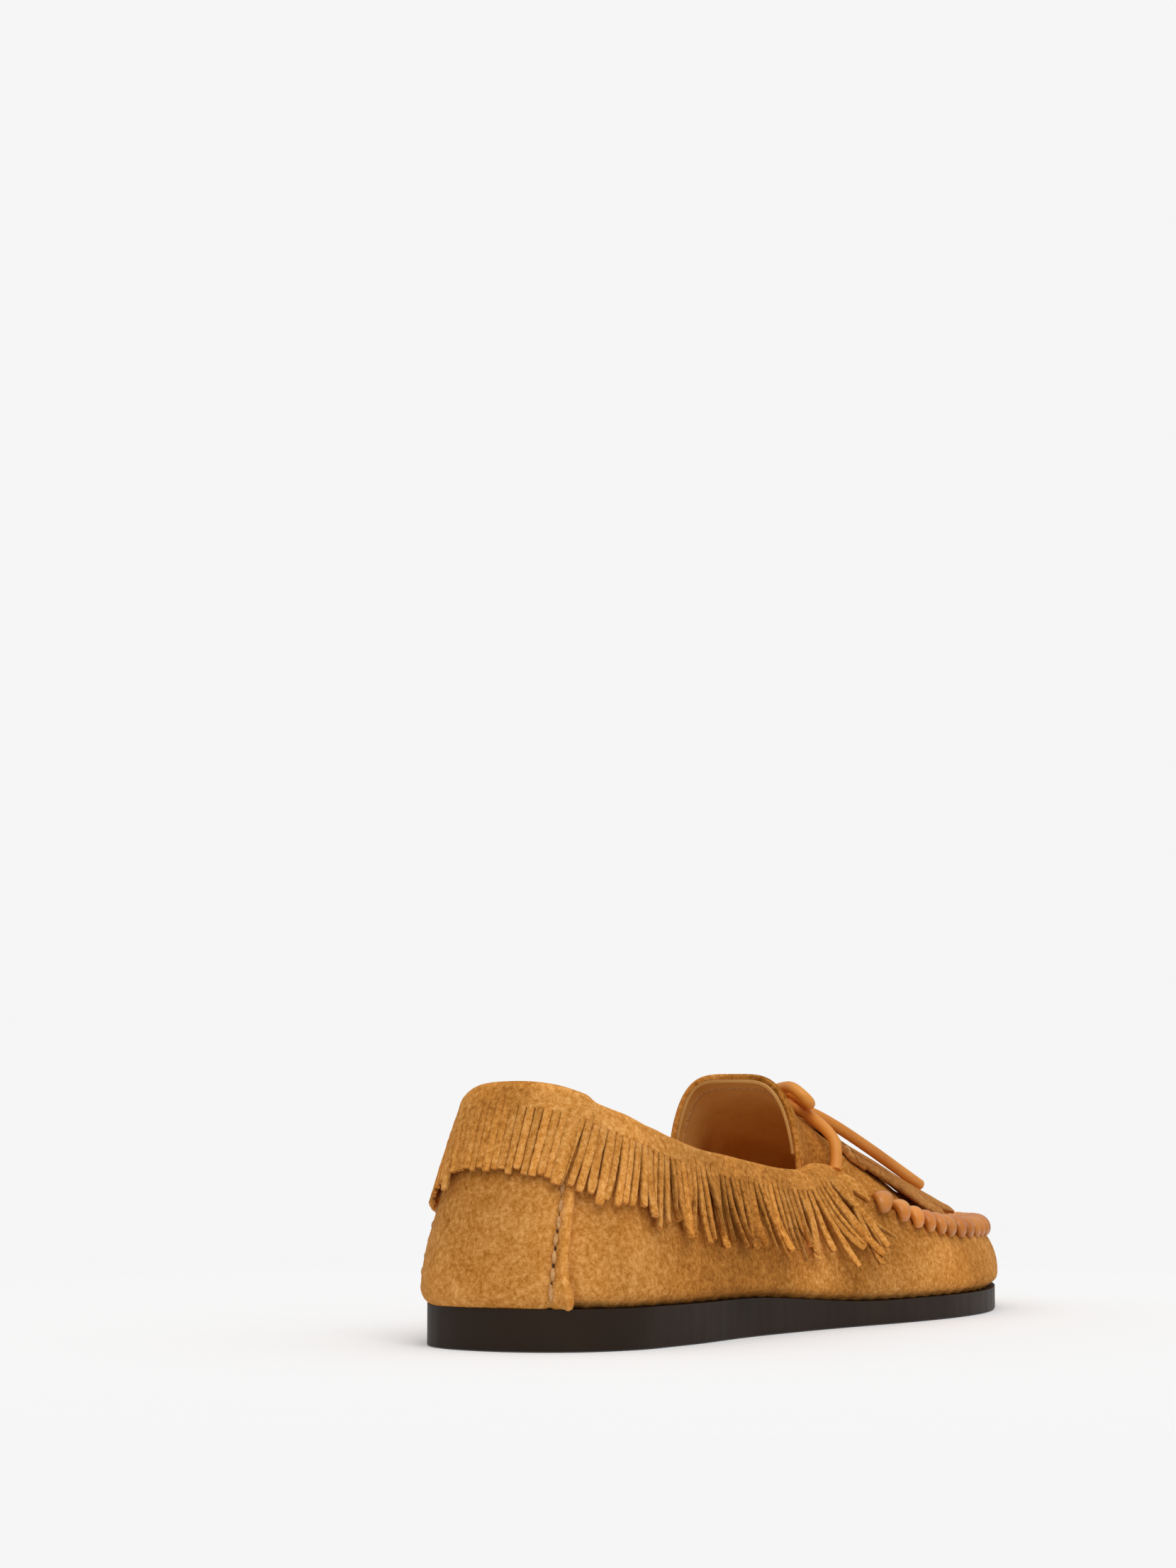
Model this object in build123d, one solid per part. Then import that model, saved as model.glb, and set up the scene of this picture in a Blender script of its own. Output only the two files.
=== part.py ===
from build123d import *
import math
import os

import numpy as np

# A right-foot moccasin in tan suede. Millimetres. +X points to the toe, +Y to the inner (medial) side of the
# foot, +Z up. The origin is on the ground under the middle of the shoe's bounding box.

# ---- Driving dimensions ----

# Sole
HEEL_END = -133.0
TOE_END = 133.0
SOLE_HEEL = 9.6
SOLE_FRONT = 6.1
SOLE_WEDGE_FROM = -60.0
SOLE_WEDGE_TO = 10.0
SOLE_HEEL_EXTRA = 0.4
TOE_SPRING = 1.8
TOE_SPRING_FROM = 60.0

# Leather
SUEDE = 1.6
WRAP_THICK = SUEDE - 0.25
LINING = 0.9
COUNTER = 1.2
BAND = 1.3
LAYER_GAP = 0.15

# Upper wall: tucked in where it meets the sole, bulging a little above it, then leaning in
TUCK = 2.2
TUCK_HEIGHT = 1.6
BULGE = 0.9
BULGE_HEIGHT = 5.5

# Heel panel
SEAM_PLACE = 16.3
INNER_SEAM_EXTRA = 15.0
SEAM_SPREAD = 3.5
SEAM_MARGIN = 3.2
SEAM_FLARE = 2.6
SEAM_FLARE_UP = 0.12
WRAP_UNDER_PANEL = 3.0
PANEL_PRESS = 0.7
PANEL_FROM = 0.025
PANEL_PRESS_FADE = 9.0

# Inside
FEATHER = 8.2
INSOLE = 2.2
SHANK_LENGTH = 92.0
SHANK_WIDTH = 12.0
SHANK_THICK = 1.0
SHANK_X = -42.0
PAD_THICK = 3.0
PAD_END = -70.0
PAD_TAPER = 22.0
SOCK = 1.2

# Collar
COLLAR_LACE = 1.0
FOLD_RISE = 1.4
INNER_FLAP = 6.5
INNER_FLAP_TAPER = 3.5
FLAP_TAPER_LENGTH = 14.0
FRINGE_DROP_HEEL = 16.5
FRINGE_DROP_FRONT = 20.0
FRINGE_FLARE = 1.5

# Laces
THONG = 3.2
WHIP_PITCH = 7.4
WHIP_WIDE = 5.2
WHIP_THICK = 2.2
WHIP_RISE = 2.9
THREAD = 1.1

# Kiltie
KILTIE_THICK = 1.3
KILTIE_LEAVES = 11
KILTIE_ROOT = 0.12
KILTIE_START = 0.183
KILTIE_SIDE_REACH = 0.27
KILTIE_TOE_REACH = 0.88
KILTIE_ROOT_SHARE = 0.59
KILTIE_TIP_SHARE = 0.86
KILTIE_LIFT_ROOT = 0.7
KILTIE_LIFT = 1.5
KILTIE_SLIT = 0.5
LEAF_WIDTH = 7.0
LEAF_TIP_WIDTH = 3.6

# Bow: the knot, and routes of thong on the outer side, mirrored for the inner side
KNOT = (12.5, 0.0, 61.0)
KNOT_SIZE = (6.4, 9.0, 6.0)
KNOT_ROUND = 2.7
KNOT_TILT = 25.0
STRAND = [(5.2, -27.2, 42.4), (7.7, -25.4, 47.4), (10.0, -21.4, 51.4), (11.6, -15.6, 55.3), (12.4, -9.2, 58.2),
          (12.5, -3.2, 59.7)]
BOW_LOOP = [(10.0, -5.6, 62.8), (7.7, -9.9, 64.8), (4.9, -13.9, 65.1), (5.5, -17.0, 62.8), (7.7, -17.4, 60.1),
            (10.9, -15.1, 59.2), (12.8, -12.1, 61.2), (14.8, -5.8, 62.4)]
LACE_END = [(18.4, -5.4, 58.4), (22.2, -9.4, 56.8), (29.5, -14.2, 52.6), (42.0, -17.8, 46.6), (56.0, -20.0, 40.6),
            (68.0, -21.6, 35.6)]

# The middle of the shoe's bounding box, which becomes the origin
CENTRE_X = -0.4
CENTRE_Y = 0.6

# One row per place round the shoe, from the middle of the heel along the outer side, round the toe and back
# along the inner side: the wall's foot on the sole (x, y), its top edge (x, y, z) and how late it leans in.
STATIONS = np.array([
    (-133.0, 0.0, -119.6, 0.0, 59.8, 1.5),
    (-128.5, -16.7, -116.8, -12.8, 58.4, 1.5),
    (-115.0, -28.1, -107.8, -21.3, 54.0, 1.5),
    (-91.0, -31.9, -87.5, -24.8, 47.6, 1.5),
    (-53.0, -31.7, -52.5, -26.2, 41.5, 1.5),
    (-18.0, -35.0, -18.0, -27.2, 38.0, 1.6),
    (5.0, -38.8, 6.0, -27.8, 37.8, 1.7),
    (13.0, -40.3, 14.0, -34.9, 31.8, 1.9),
    (24.0, -41.9, 24.5, -37.4, 28.0, 2.0),
    (47.0, -43.5, 47.0, -37.6, 24.3, 2.2),
    (74.0, -40.5, 74.0, -34.6, 22.8, 2.6),
    (99.0, -30.5, 96.5, -26.5, 22.7, 3.2),
    (117.0, -17.0, 109.5, -15.5, 22.6, 3.8),
    (128.0, -5.0, 115.5, -5.0, 22.6, 4.2),
    (133.0, 7.0, 117.0, 7.0, 22.6, 4.4),
    (129.0, 19.0, 114.5, 18.0, 22.6, 4.2),
    (117.0, 31.0, 107.0, 27.5, 22.6, 3.8),
    (97.0, 40.0, 92.0, 34.5, 22.7, 3.2),
    (72.0, 44.5, 71.0, 38.2, 22.8, 2.6),
    (47.0, 43.5, 47.0, 37.6, 24.3, 2.2),
    (24.0, 39.0, 24.5, 35.2, 28.0, 2.0),
    (13.0, 36.5, 14.0, 33.0, 31.8, 1.9),
    (5.0, 34.7, 6.0, 27.4, 37.8, 1.7),
    (-18.0, 30.4, -18.0, 25.8, 38.0, 1.6),
    (-53.0, 28.3, -52.5, 24.4, 41.5, 1.5),
    (-91.0, 30.8, -87.5, 24.0, 47.6, 1.5),
    (-115.0, 27.5, -107.8, 21.0, 54.0, 1.5),
    (-128.5, 16.7, -116.8, 12.8, 58.8, 1.5),
])
COLLAR_FRONT_OUTER = 6
SEAM_START_OUTER = 7
SEAM_START_INNER = 21
COLLAR_FRONT_INNER = 22

# Apron and tongue: the ridge along the middle (x, z) and the side edge behind the sewn seam (x, half width, z)
MOUTH_X = -5.0
RIDGE = np.array([(-5.0, 67.0), (8.0, 59.8), (21.0, 52.8), (29.0, 48.9), (50.0, 40.4), (80.0, 30.0), (100.0, 25.4),
                  (117.0, 23.0)])
MOUTH_SQUARE = 22.0
MOUTH_HALF = 20.5
MOUTH_LOW = 40.5
TUCKED_X = 7.0
TUCKED_HALF = 21.9
TUCKED_LOW = 36.0
SEAM_INSET = 1.5


# ---- Curves ----

def smooth(knots, values, at):
    """A smooth line through values at the knots; the slope at each knot comes from its neighbours."""
    slopes = np.gradient(values, knots, axis=0)
    i = int(np.clip(np.searchsorted(knots, at) - 1, 0, len(knots) - 2))
    step = knots[i + 1] - knots[i]
    t = (at - knots[i]) / step
    start = (2 * t**3 - 3 * t**2 + 1) * values[i] + (t**3 - 2 * t**2 + t) * step * slopes[i]
    end = (3 * t**2 - 2 * t**3) * values[i + 1] + (t**3 - t**2) * step * slopes[i + 1]
    return start + end


def ease(t):
    """0 below 0, 1 above 1, and a smooth step between."""
    t = min(max(t, 0.0), 1.0)
    return t * t * (3 - 2 * t)


def unit(v):
    return v / np.linalg.norm(v)


CLOSED = np.vstack([STATIONS, STATIONS[:1]])
STEPS = np.linalg.norm(np.diff(CLOSED[:, :2], axis=0), axis=1)
PLACES = np.concatenate([[0.0], np.cumsum(STEPS)])
AROUND = PLACES[-1]
RING_PLACES = np.concatenate([PLACES[-4:-1] - AROUND, PLACES, PLACES[1:4] + AROUND])
RING_ROWS = np.vstack([STATIONS[-3:], CLOSED, STATIONS[1:4]])


def ring(place):
    """The station at a distance round the sole's edge from the middle of the heel, outer side first."""
    return smooth(RING_PLACES, RING_ROWS, place % AROUND)


def place_of(station):
    return PLACES[station]


# ---- Sole heights ----

def sole_lift(x):
    return TOE_SPRING * max(0.0, (x - TOE_SPRING_FROM) / (TOE_END - TOE_SPRING_FROM))**2


def sole_top(x):
    wedge = 1 - ease((x - SOLE_WEDGE_FROM) / (SOLE_WEDGE_TO - SOLE_WEDGE_FROM))
    extra = SOLE_HEEL_EXTRA * max(0.0, (SOLE_WEDGE_FROM - x) / (SOLE_WEDGE_FROM - HEEL_END))
    return sole_lift(x) + SOLE_FRONT + (SOLE_HEEL - SOLE_FRONT) * wedge + extra


# ---- Upper surfaces ----

def from_heel(place):
    """The distance round the sole's edge from the middle of the heel, on either side."""
    place = place % AROUND
    return min(place, AROUND - place)


def past_panel(place):
    """How far in front of the heel panel's edge a place is; the panel reaches further round the inner side."""
    extra = INNER_SEAM_EXTRA if place % AROUND > AROUND / 2 else 0.0
    return from_heel(place) - SEAM_PLACE - SEAM_SPREAD - SEAM_MARGIN - extra


def under_panel(place):
    """1 where the heel panel presses the wall in, fading to 0 in front of its edge."""
    beyond = past_panel(place)
    return 1 - ease(beyond / PANEL_PRESS_FADE)


def seam_place(up, side=1):
    """The heel seam's place at a height; side is 1 for the outer seam and -1 for the inner."""
    return side * (SEAM_PLACE + SEAM_SPREAD * up) - (INNER_SEAM_EXTRA if side < 0 else 0.0)


def panel_edge(up, side=1):
    return seam_place(up, side) + side * (SEAM_MARGIN + SEAM_FLARE * math.exp(-(up / SEAM_FLARE_UP)**2))


def wall_face(place, up):
    """The outer face of the upper; up is 0 at the sole and 1 at the top edge."""
    row = ring(place)
    ahead = ring(place + 0.5)[:2] - ring(place - 0.5)[:2]
    outward = unit(np.array([ahead[1], -ahead[0]]))
    base = sole_top(row[0]) + LAYER_GAP
    height = up * (row[4] - base)
    h = height / BULGE_HEIGHT
    bulge = BULGE * h * math.exp(1 - h) - TUCK * math.exp(-(height / TUCK_HEIGHT)**2)
    bulge -= PANEL_PRESS * under_panel(place)
    plan = row[:2] + (row[2:4] - row[:2]) * max(up, 0.0)**row[5] + outward * bulge
    return np.array([plan[0], plan[1], base + height])


def wall_frame(place, up):
    """The outward direction and the upward direction along the wall."""
    along = wall_face(place + 0.5, up) - wall_face(place - 0.5, up)
    rise = wall_face(place, up + 0.01) - wall_face(place, up - 0.01)
    return unit(np.cross(along, rise)), unit(rise)


def wall(place, up, out=0.0):
    return wall_face(place, up) + out * wall_frame(place, up)[0]


def wall_height(place):
    row = ring(place)
    return row[4] - sole_top(row[0]) - LAYER_GAP


def apron_side(u, side):
    """The edge of the apron at a share u of the way from the mouth to the toe corner; side -1 is outer."""
    start, corner = (SEAM_START_OUTER, 12) if side < 0 else (SEAM_START_INNER, 16)
    knots = [0.0, (TUCKED_X - MOUTH_X) / (STATIONS[corner, 2] - MOUTH_X)]
    points = [(MOUTH_X, side * MOUTH_HALF, MOUTH_LOW), (TUCKED_X, side * TUCKED_HALF, TUCKED_LOW)]
    stations = range(start, corner + 1) if side < 0 else range(start, corner - 1, -1)
    for station in stations:
        x, y, z = STATIONS[station, 2:5]
        inset = SEAM_INSET if station != start else 2.4 * SEAM_INSET
        points.append((x - (0.5 * inset if station == corner else 0.0), y - side * inset, z + 0.3))
        knots.append((x - MOUTH_X) / (STATIONS[corner, 2] - MOUTH_X))
    return smooth(np.array(knots), np.array(points), u)


def apron_front(w):
    """The toe edge of the apron, from the outer corner at w = 0 to the inner corner at w = 1."""
    points = [apron_side(1.0, -1)]
    for station in (13, 14, 15):
        x, y, z = STATIONS[station, 2:5]
        points.append(np.array([x - SEAM_INSET, y, z + 0.3]))
    points.append(apron_side(1.0, 1))
    points = np.array(points)
    steps = np.concatenate([[0.0], np.cumsum(np.linalg.norm(np.diff(points, axis=0), axis=1))])
    return smooth(steps / steps[-1], points, w)


def apron_face(u, w):
    """The outer face of the apron and tongue; u runs from the mouth to the toe, w from the outer side across."""
    outer, inner, front = apron_side(u, -1), apron_side(u, 1), apron_front(w)
    mouth = (1 - w) * apron_side(0.0, -1) + w * apron_side(0.0, 1)
    corners = (1 - u) * mouth + u * ((1 - w) * apron_side(1.0, -1) + w * apron_side(1.0, 1))
    point = (1 - w) * outer + w * inner + (1 - u) * mouth + u * front - corners
    square = 1 - ease((point[0] - MOUTH_X) / MOUTH_SQUARE)
    across = abs(2 * w - 1)**(2 + 2 * square)
    crown = max(0.0, 1 - across)**(1 / (1 + 0.7 * square)) * (1 - u**8)
    ridge = smooth(RIDGE[:, 0], RIDGE[:, 1], point[0])
    point[2] += max(0.0, ridge - point[2]) * crown
    return point


def apron(u, w, out=0.0):
    point = apron_face(u, w)
    if out == 0.0:
        return point
    du, dw = 0.004, 0.004
    along = apron_face(min(u + du, 1.0), w) - apron_face(max(u - du, 0.0), w)
    across = apron_face(u, min(w + dw, 1.0)) - apron_face(u, max(w - dw, 0.0))
    return point + out * unit(np.cross(along, across))


# ---- Solids ----

def surface(points):
    return Face.make_surface_from_array_of_points([[tuple(p) for p in row] for row in points], tol=0.01)


def border(face, start, end):
    """The edge of the face that joins two of its corners."""
    start, end = Vector(*start), Vector(*end)

    def miss(edge):
        first, last = edge.position_at(0), edge.position_at(1)
        return min((first - start).length + (last - end).length, (first - end).length + (last - start).length)

    return min(face.edges(), key=miss)


def slab(outer, inner):
    """A closed sheet between two grids of points of the same shape."""
    top, bottom = surface(outer), surface(inner)
    faces = [top, bottom]
    for a, b in (((0, 0), (0, -1)), ((-1, 0), (-1, -1)), ((0, 0), (-1, 0)), ((0, -1), (-1, -1))):
        top_edge = border(top, outer[a[0]][a[1]], outer[b[0]][b[1]])
        bottom_edge = border(bottom, inner[a[0]][a[1]], inner[b[0]][b[1]])
        faces.append(Face.make_surface_from_curves(top_edge, bottom_edge))
    solid = Solid(Shell(faces))
    return solid if solid.volume > 0 else -solid


def wall_slab(places, ups, out, thick):
    """A layer of the wall; out is its outer face's distance from the wall's own, a number or a function."""
    def stand(place, up):
        return out(place, up) if callable(out) else out

    outer = [[wall(p, u, stand(p, u)) for u in ups] for p in places]
    inner = [[wall(p, u, stand(p, u) - thick) for u in ups] for p in places]
    return slab(outer, inner)


def between(start, end, count):
    return [start + (end - start) * i / count for i in range(count + 1)]


def closing_in(count):
    """Shares from 0 to 1 that crowd towards both ends."""
    return [(1 - math.cos(math.pi * i / count)) / 2 for i in range(count + 1)]


def corner_radii(points):
    """The largest arc at each corner that its two runs leave room for."""
    radii = []
    for before, corner, after in zip(points, points[1:], points[2:]):
        run_in = Vector(*corner) - Vector(*before)
        run_out = Vector(*after) - Vector(*corner)
        half_turn = math.radians(run_in.get_angle(run_out)) / 2
        radii.append(0.45 * min(run_in.length, run_out.length) / math.tan(half_turn))
    return radii


def tube(name, points, diameter):
    """A round thong along straight runs joined by tangent arcs."""
    points = [tuple(float(c) for c in p) for p in points]
    radii = corner_radii(points)
    path = FilletPolyline(*points, radius=radii)
    section = Plane(origin=path @ 0, z_dir=path % 0) * Circle(diameter / 2)
    solid = sweep(section, path=path)
    expected = math.pi * diameter**2 / 4 * path.length
    print(name, "length", round(path.length, 1), "radii", [round(r, 1) for r in radii],
          "volume share", round(solid.volume / expected, 3))
    return solid


def capsule(start, end, diameter):
    """A short stitch with rounded ends."""
    start, end = Vector(*start), Vector(*end)
    middle = Plane(origin=start, z_dir=end - start) * Cylinder(
        diameter / 2, (end - start).length, align=(Align.CENTER, Align.CENTER, Align.MIN))
    return middle + Pos(start) * Sphere(diameter / 2) + Pos(end) * Sphere(diameter / 2)


# ---- Sole and insole ----

def outline_face(inset):
    points = []
    for place in between(0, AROUND, 56)[:-1]:
        ahead = ring(place + 0.5)[:2] - ring(place - 0.5)[:2]
        outward = unit(np.array([ahead[1], -ahead[0]]))
        x, y = ring(place)[:2] - inset * outward
        points.append((x, y))
    return make_face(Spline(points, periodic=True))


def ribbon(low, high, x_from, x_to):
    """A plate across the shoe between two height lines along it."""
    xs = between(x_from, x_to, 24)
    with BuildSketch(Plane.XZ) as profile:
        with BuildLine():
            Spline([(x, high(x)) for x in xs])
            Line((x_to, high(x_to)), (x_to, low(x_to)))
            Spline([(x, low(x)) for x in reversed(xs)])
            Line((x_from, low(x_from)), (x_from, high(x_from)))
        make_face()
    return extrude(profile.sketch, amount=60, both=True)


def plate(inset, low, high, x_from=HEEL_END - 5, x_to=TOE_END + 5):
    return extrude(outline_face(inset), amount=60) & ribbon(low, high, x_from, x_to)


def make_outsole():
    prism = extrude(outline_face(0.0), amount=40)
    flat_top = ribbon(sole_lift, sole_top, HEEL_END - 5, TOE_END + 5)
    return prism & flat_top


def make_shank():
    low = lambda x: sole_top(x) + 0.1
    high = lambda x: sole_top(x) + 0.1 + SHANK_THICK
    outline = Pos(SHANK_X, -1, 0) * SlotOverall(SHANK_LENGTH, SHANK_WIDTH)
    return extrude(outline, amount=40) & ribbon(low, high, SHANK_X - 60, SHANK_X + 60)


def make_insole_board():
    low = lambda x: sole_top(x) + 0.05
    high = lambda x: sole_top(x) + INSOLE
    pocket = extrude(Pos(SHANK_X, -1, 0) * SlotOverall(SHANK_LENGTH + 1, SHANK_WIDTH + 1), amount=40)
    groove = pocket & ribbon(lambda x: sole_top(x) - 1, lambda x: sole_top(x) + 0.2 + SHANK_THICK,
                             SHANK_X - 60, SHANK_X + 60)
    return plate(FEATHER, low, high) - groove


def pad_top(x):
    """How far the heel pad stands above the insole board; it thins out to nothing in front."""
    return PAD_THICK * ease((PAD_END - x) / PAD_TAPER)


def make_heel_pad():
    low = lambda x: sole_top(x) + INSOLE + 0.05
    high = lambda x: low(x) + max(pad_top(x), 0.3)
    return plate(FEATHER + 1.5, low, high, x_to=PAD_END - 1.0)


def make_sock_lining():
    low = lambda x: sole_top(x) + INSOLE + 0.1 + (pad_top(x) if x < PAD_END else 0.0) + 0.35 * ease((PAD_END + 12 - x) / 12)
    high = lambda x: low(x) + SOCK
    return plate(FEATHER + 0.5, low, high)


# ---- Upper ----

WRAP_FROM = SEAM_PLACE - WRAP_UNDER_PANEL
WRAP_ROWS = 120
COLLAR_OUTER = PLACES[COLLAR_FRONT_OUTER]
COLLAR_INNER = PLACES[COLLAR_FRONT_INNER] - AROUND


def ups_from(low, high=1.0, count=14):
    """Heights up the wall, closer together near the sole, where the wall tucks in."""
    return [low + (high - low) * (i / count)**1.4 for i in range(count + 1)]


def make_vamp_wrap():
    places = between(WRAP_FROM, AROUND - WRAP_FROM - INNER_SEAM_EXTRA, WRAP_ROWS)
    return wall_slab(places, ups_from(0.0), 0.0, WRAP_THICK)


def make_heel_panel():
    across = between(0, 1, 28)
    ups = ups_from(PANEL_FROM)
    place = lambda share, up: (1 - share) * panel_edge(up, -1) + share * panel_edge(up, 1)
    outer = [[wall(place(s, u), u, SUEDE + 0.1) for u in ups] for s in across]
    inner = [[wall(place(s, u), u, 0.1) for u in ups] for s in across]
    return slab(outer, inner)


def make_heel_counter():
    ups = between(0.09, 0.64, 10)
    return wall_slab(between(-72, 72, 40), ups, -SUEDE - LAYER_GAP, COUNTER)


def lining_out(place, up):
    """How far in the lining's hidden face lies: behind the counter at the heel, behind the suede elsewhere."""
    counter = (1 - ease((from_heel(place) - 74) / 16)) * (1 - ease((up - 0.66) / 0.16))
    return -SUEDE - LAYER_GAP - (COUNTER + LAYER_GAP) * counter


def make_quarter_lining():
    places = between(COLLAR_INNER + 1, COLLAR_OUTER - 1, 72)
    return wall_slab(places, between(0.05, 1.0, 18), lining_out, LINING)


def make_vamp_lining():
    places = between(COLLAR_OUTER + 1, AROUND + COLLAR_INNER - 1, 72)
    return wall_slab(places, ups_from(0.08, 0.82, 10), -SUEDE - 2 * LAYER_GAP, LINING)


# ---- Apron, tongue and the thong that sews the apron in ----

TONGUE_US = [0.0, 0.03, 0.06, 0.09, 0.13, 0.18, 0.24, 0.32, 0.42, 0.52, 0.62, 0.72, 0.82, 0.9, 0.96, 1.0]


def apron_slab(us, ws, out, thick):
    outer = [[apron(u, w, out) for w in ws] for u in us]
    inner = [[apron(u, w, out - thick) for w in ws] for u in us]
    return slab(outer, inner)


def make_apron():
    return apron_slab(TONGUE_US, closing_in(28), 0.001, SUEDE)


def make_apron_lining():
    ws = [0.03 + 0.94 * w for w in closing_in(26)]
    us = [0.96 * u for u in TONGUE_US]
    return apron_slab(us, ws, -SUEDE - LAYER_GAP, LINING)


def make_tongue_stitching():
    """Two threads' worth of short stitches beside the raw edge of the mouth."""
    stitches = []
    arch = [apron(0.03, w, 0.0) for w in between(0.02, 0.98, 400)]
    lengths = np.concatenate([[0], np.cumsum([np.linalg.norm(b - a) for a, b in zip(arch, arch[1:])])])
    count = int(lengths[-1] // 3.2)
    for i in range(count):
        ends = []
        for share in (i / count, (i + 0.66) / count):
            w = 0.02 + 0.96 * float(np.interp(share * lengths[-1], lengths, between(0, 1, 400)))
            ends.append(apron(0.026, w, -SUEDE - LAYER_GAP - LINING + 0.1))
        stitches.append(capsule(ends[0], ends[1], 0.7))
    return Compound(stitches)


def seam_places():
    start, end = PLACES[SEAM_START_OUTER] + 1.0, PLACES[SEAM_START_INNER] - 1.0
    count = round((end - start) / WHIP_PITCH)
    return between(start, end, count)


def make_whipstitch():
    """Fat turns of thong over the seam, each an arch from the wall across to the apron."""
    turns = []
    for place in seam_places():
        outward, rise = wall_frame(place, 1.0)
        across = unit(np.array([outward[0], outward[1], 0.0]))
        top = wall(place, 1.0)
        centre = top - 0.6 * across + np.array([0.0, 0.0, -0.3])
        along = unit(np.cross(across, (0, 0, 1)))
        frame = Plane(origin=Vector(*centre), x_dir=Vector(*across), z_dir=Vector(*along))
        arc = frame * CenterArc((0, 0), WHIP_RISE, -20, 220)
        section = Plane(origin=arc @ 0, x_dir=Vector(*along), z_dir=arc % 0) * Ellipse(WHIP_WIDE / 2, WHIP_THICK / 2)
        turns.append(sweep(section, path=arc))
    return Compound(turns)


# ---- Collar ----

def flap_gap(place):
    """How far the fringed flap stands off the wall: over the heel panel it clears the panel's thickness."""
    over_panel = 1 - ease((past_panel(place) - 1.5) / 5)
    return LAYER_GAP + 0.1 + (SUEDE + 0.1) * over_panel


def fringe_drop(place):
    share = from_heel(place) / COLLAR_OUTER
    return FRINGE_DROP_HEEL + (FRINGE_DROP_FRONT - FRINGE_DROP_HEEL) * ease(share * 1.6)


WALL_TOP_THICK = SUEDE + LAYER_GAP + LINING
LACE_RISE = FOLD_RISE + 0.55


def fold_centre(place):
    """The middle of the fold, where the collar's lace runs, and the fold's inner radius."""
    inner_face = -WALL_TOP_THICK - LAYER_GAP
    radius = (flap_gap(place) - inner_face) / 2
    outward, rise = wall_frame(place, 1.0)
    centre = wall(place, 1.0) + (inner_face + radius) * outward + FOLD_RISE * rise
    return centre, radius


def band_row(place, skin):
    """One cross-section of the folded band, from its inner edge over the fold to the fringe's tips."""
    outward, rise = wall_frame(place, 1.0)
    centre, radius = fold_centre(place)
    height = wall_height(place)
    flap = INNER_FLAP - INNER_FLAP_TAPER * ease((abs(place) - COLLAR_OUTER + FLAP_TAPER_LENGTH) / FLAP_TAPER_LENGTH)
    row = []
    for share in between(1.0, 0.0, 5):
        row.append(wall(place, 1 - share * flap / height, -WALL_TOP_THICK - LAYER_GAP - skin))
    for angle in between(math.pi, 0.0, 8):
        row.append(centre + (radius + skin) * (math.cos(angle) * outward + math.sin(angle) * rise))
    drop = fringe_drop(place)
    for share in between(0.0, 1.0, 13):
        flare = FRINGE_FLARE * share**1.5
        row.append(wall(place, 1 - share * drop / height, flap_gap(place) + flare + skin))
    return row


def band_places():
    steps = between(COLLAR_INNER, -40, 22)
    steps += between(-40, 40, 40)[1:]
    return steps + between(40, COLLAR_OUTER, 22)[1:]


def make_collar_fringe():
    outer = [band_row(place, BAND) for place in band_places()]
    inner = [band_row(place, 0.0) for place in band_places()]
    return slab(outer, inner)


def make_collar_lace():
    places = between(COLLAR_INNER + 4, -50, 9)
    places += between(-50, 50, 21)[1:]
    places += between(50, COLLAR_OUTER - 4, 9)[1:]
    points = [fold_centre(place)[0] + (LACE_RISE - FOLD_RISE) * wall_frame(place, 1.0)[1] for place in places]
    return tube("collar_lace", points, COLLAR_LACE)


def make_heel_stitching(side):
    """Thick thread stitches down one heel seam."""
    stitches = []
    low, high, pitch = 0.05, 0.86, 4.2
    height = wall_height(0)
    count = int((high - low) * height / pitch)
    for i in range(count):
        start = low + i * pitch / height
        end = start + 0.66 * pitch / height
        ends = [wall(seam_place(u, -side), u, SUEDE + 0.1 + 0.2 * THREAD) for u in (start, end)]
        stitches.append(capsule(ends[0], ends[1], THREAD))
    return Compound(stitches)


# ---- Kiltie, bow and lace ends ----

def kiltie_point(t, c, out=0.0):
    """The kiltie's underside; t is 0 at its sewn edge and 1 at the tips, c runs from -1 to 1 across."""
    angle = c * math.pi / 2
    reach = KILTIE_SIDE_REACH + (KILTIE_TOE_REACH - KILTIE_SIDE_REACH) * max(math.cos(angle), 0.0)**0.75
    u = KILTIE_START + t * (reach - KILTIE_START)
    root, tip = KILTIE_ROOT_SHARE * c, KILTIE_TIP_SHARE * math.sin(angle)
    across = root + (tip - root) * t
    lift = KILTIE_LIFT_ROOT + (KILTIE_LIFT - KILTIE_LIFT_ROOT) * ease(t / 0.4)
    return apron(u, 0.5 + 0.5 * across, lift + out)


def slit_prism(c):
    """The gap between two leaves; it opens as the leaves fan out and narrow towards their tips."""
    one_side, other_side = [], []
    for t in (KILTIE_ROOT, 0.2, 0.35, 0.5, 0.65, 0.8, 0.9, 0.96, 1.0, 1.04):
        before = kiltie_point(min(t, 1.0), c - 1 / KILTIE_LEAVES)[:2]
        after = kiltie_point(min(t, 1.0), c + 1 / KILTIE_LEAVES)[:2]
        here = kiltie_point(min(t, 1.0), c)[:2]
        here = here + unit(kiltie_point(1.0, c)[:2] - kiltie_point(0.9, c)[:2]) * 60 * max(0.0, t - 1.0)
        width = LEAF_WIDTH + (LEAF_TIP_WIDTH - LEAF_WIDTH) * ease((t - 0.85) / 0.15)
        half = max(KILTIE_SLIT, np.linalg.norm(after - before) - width) / 2
        across = unit(after - before)
        one_side.append(tuple(here - half * across))
        other_side.append(tuple(here + half * across))
    return extrude(make_face(Polyline(*one_side, *reversed(other_side), close=True)), amount=80)


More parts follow.
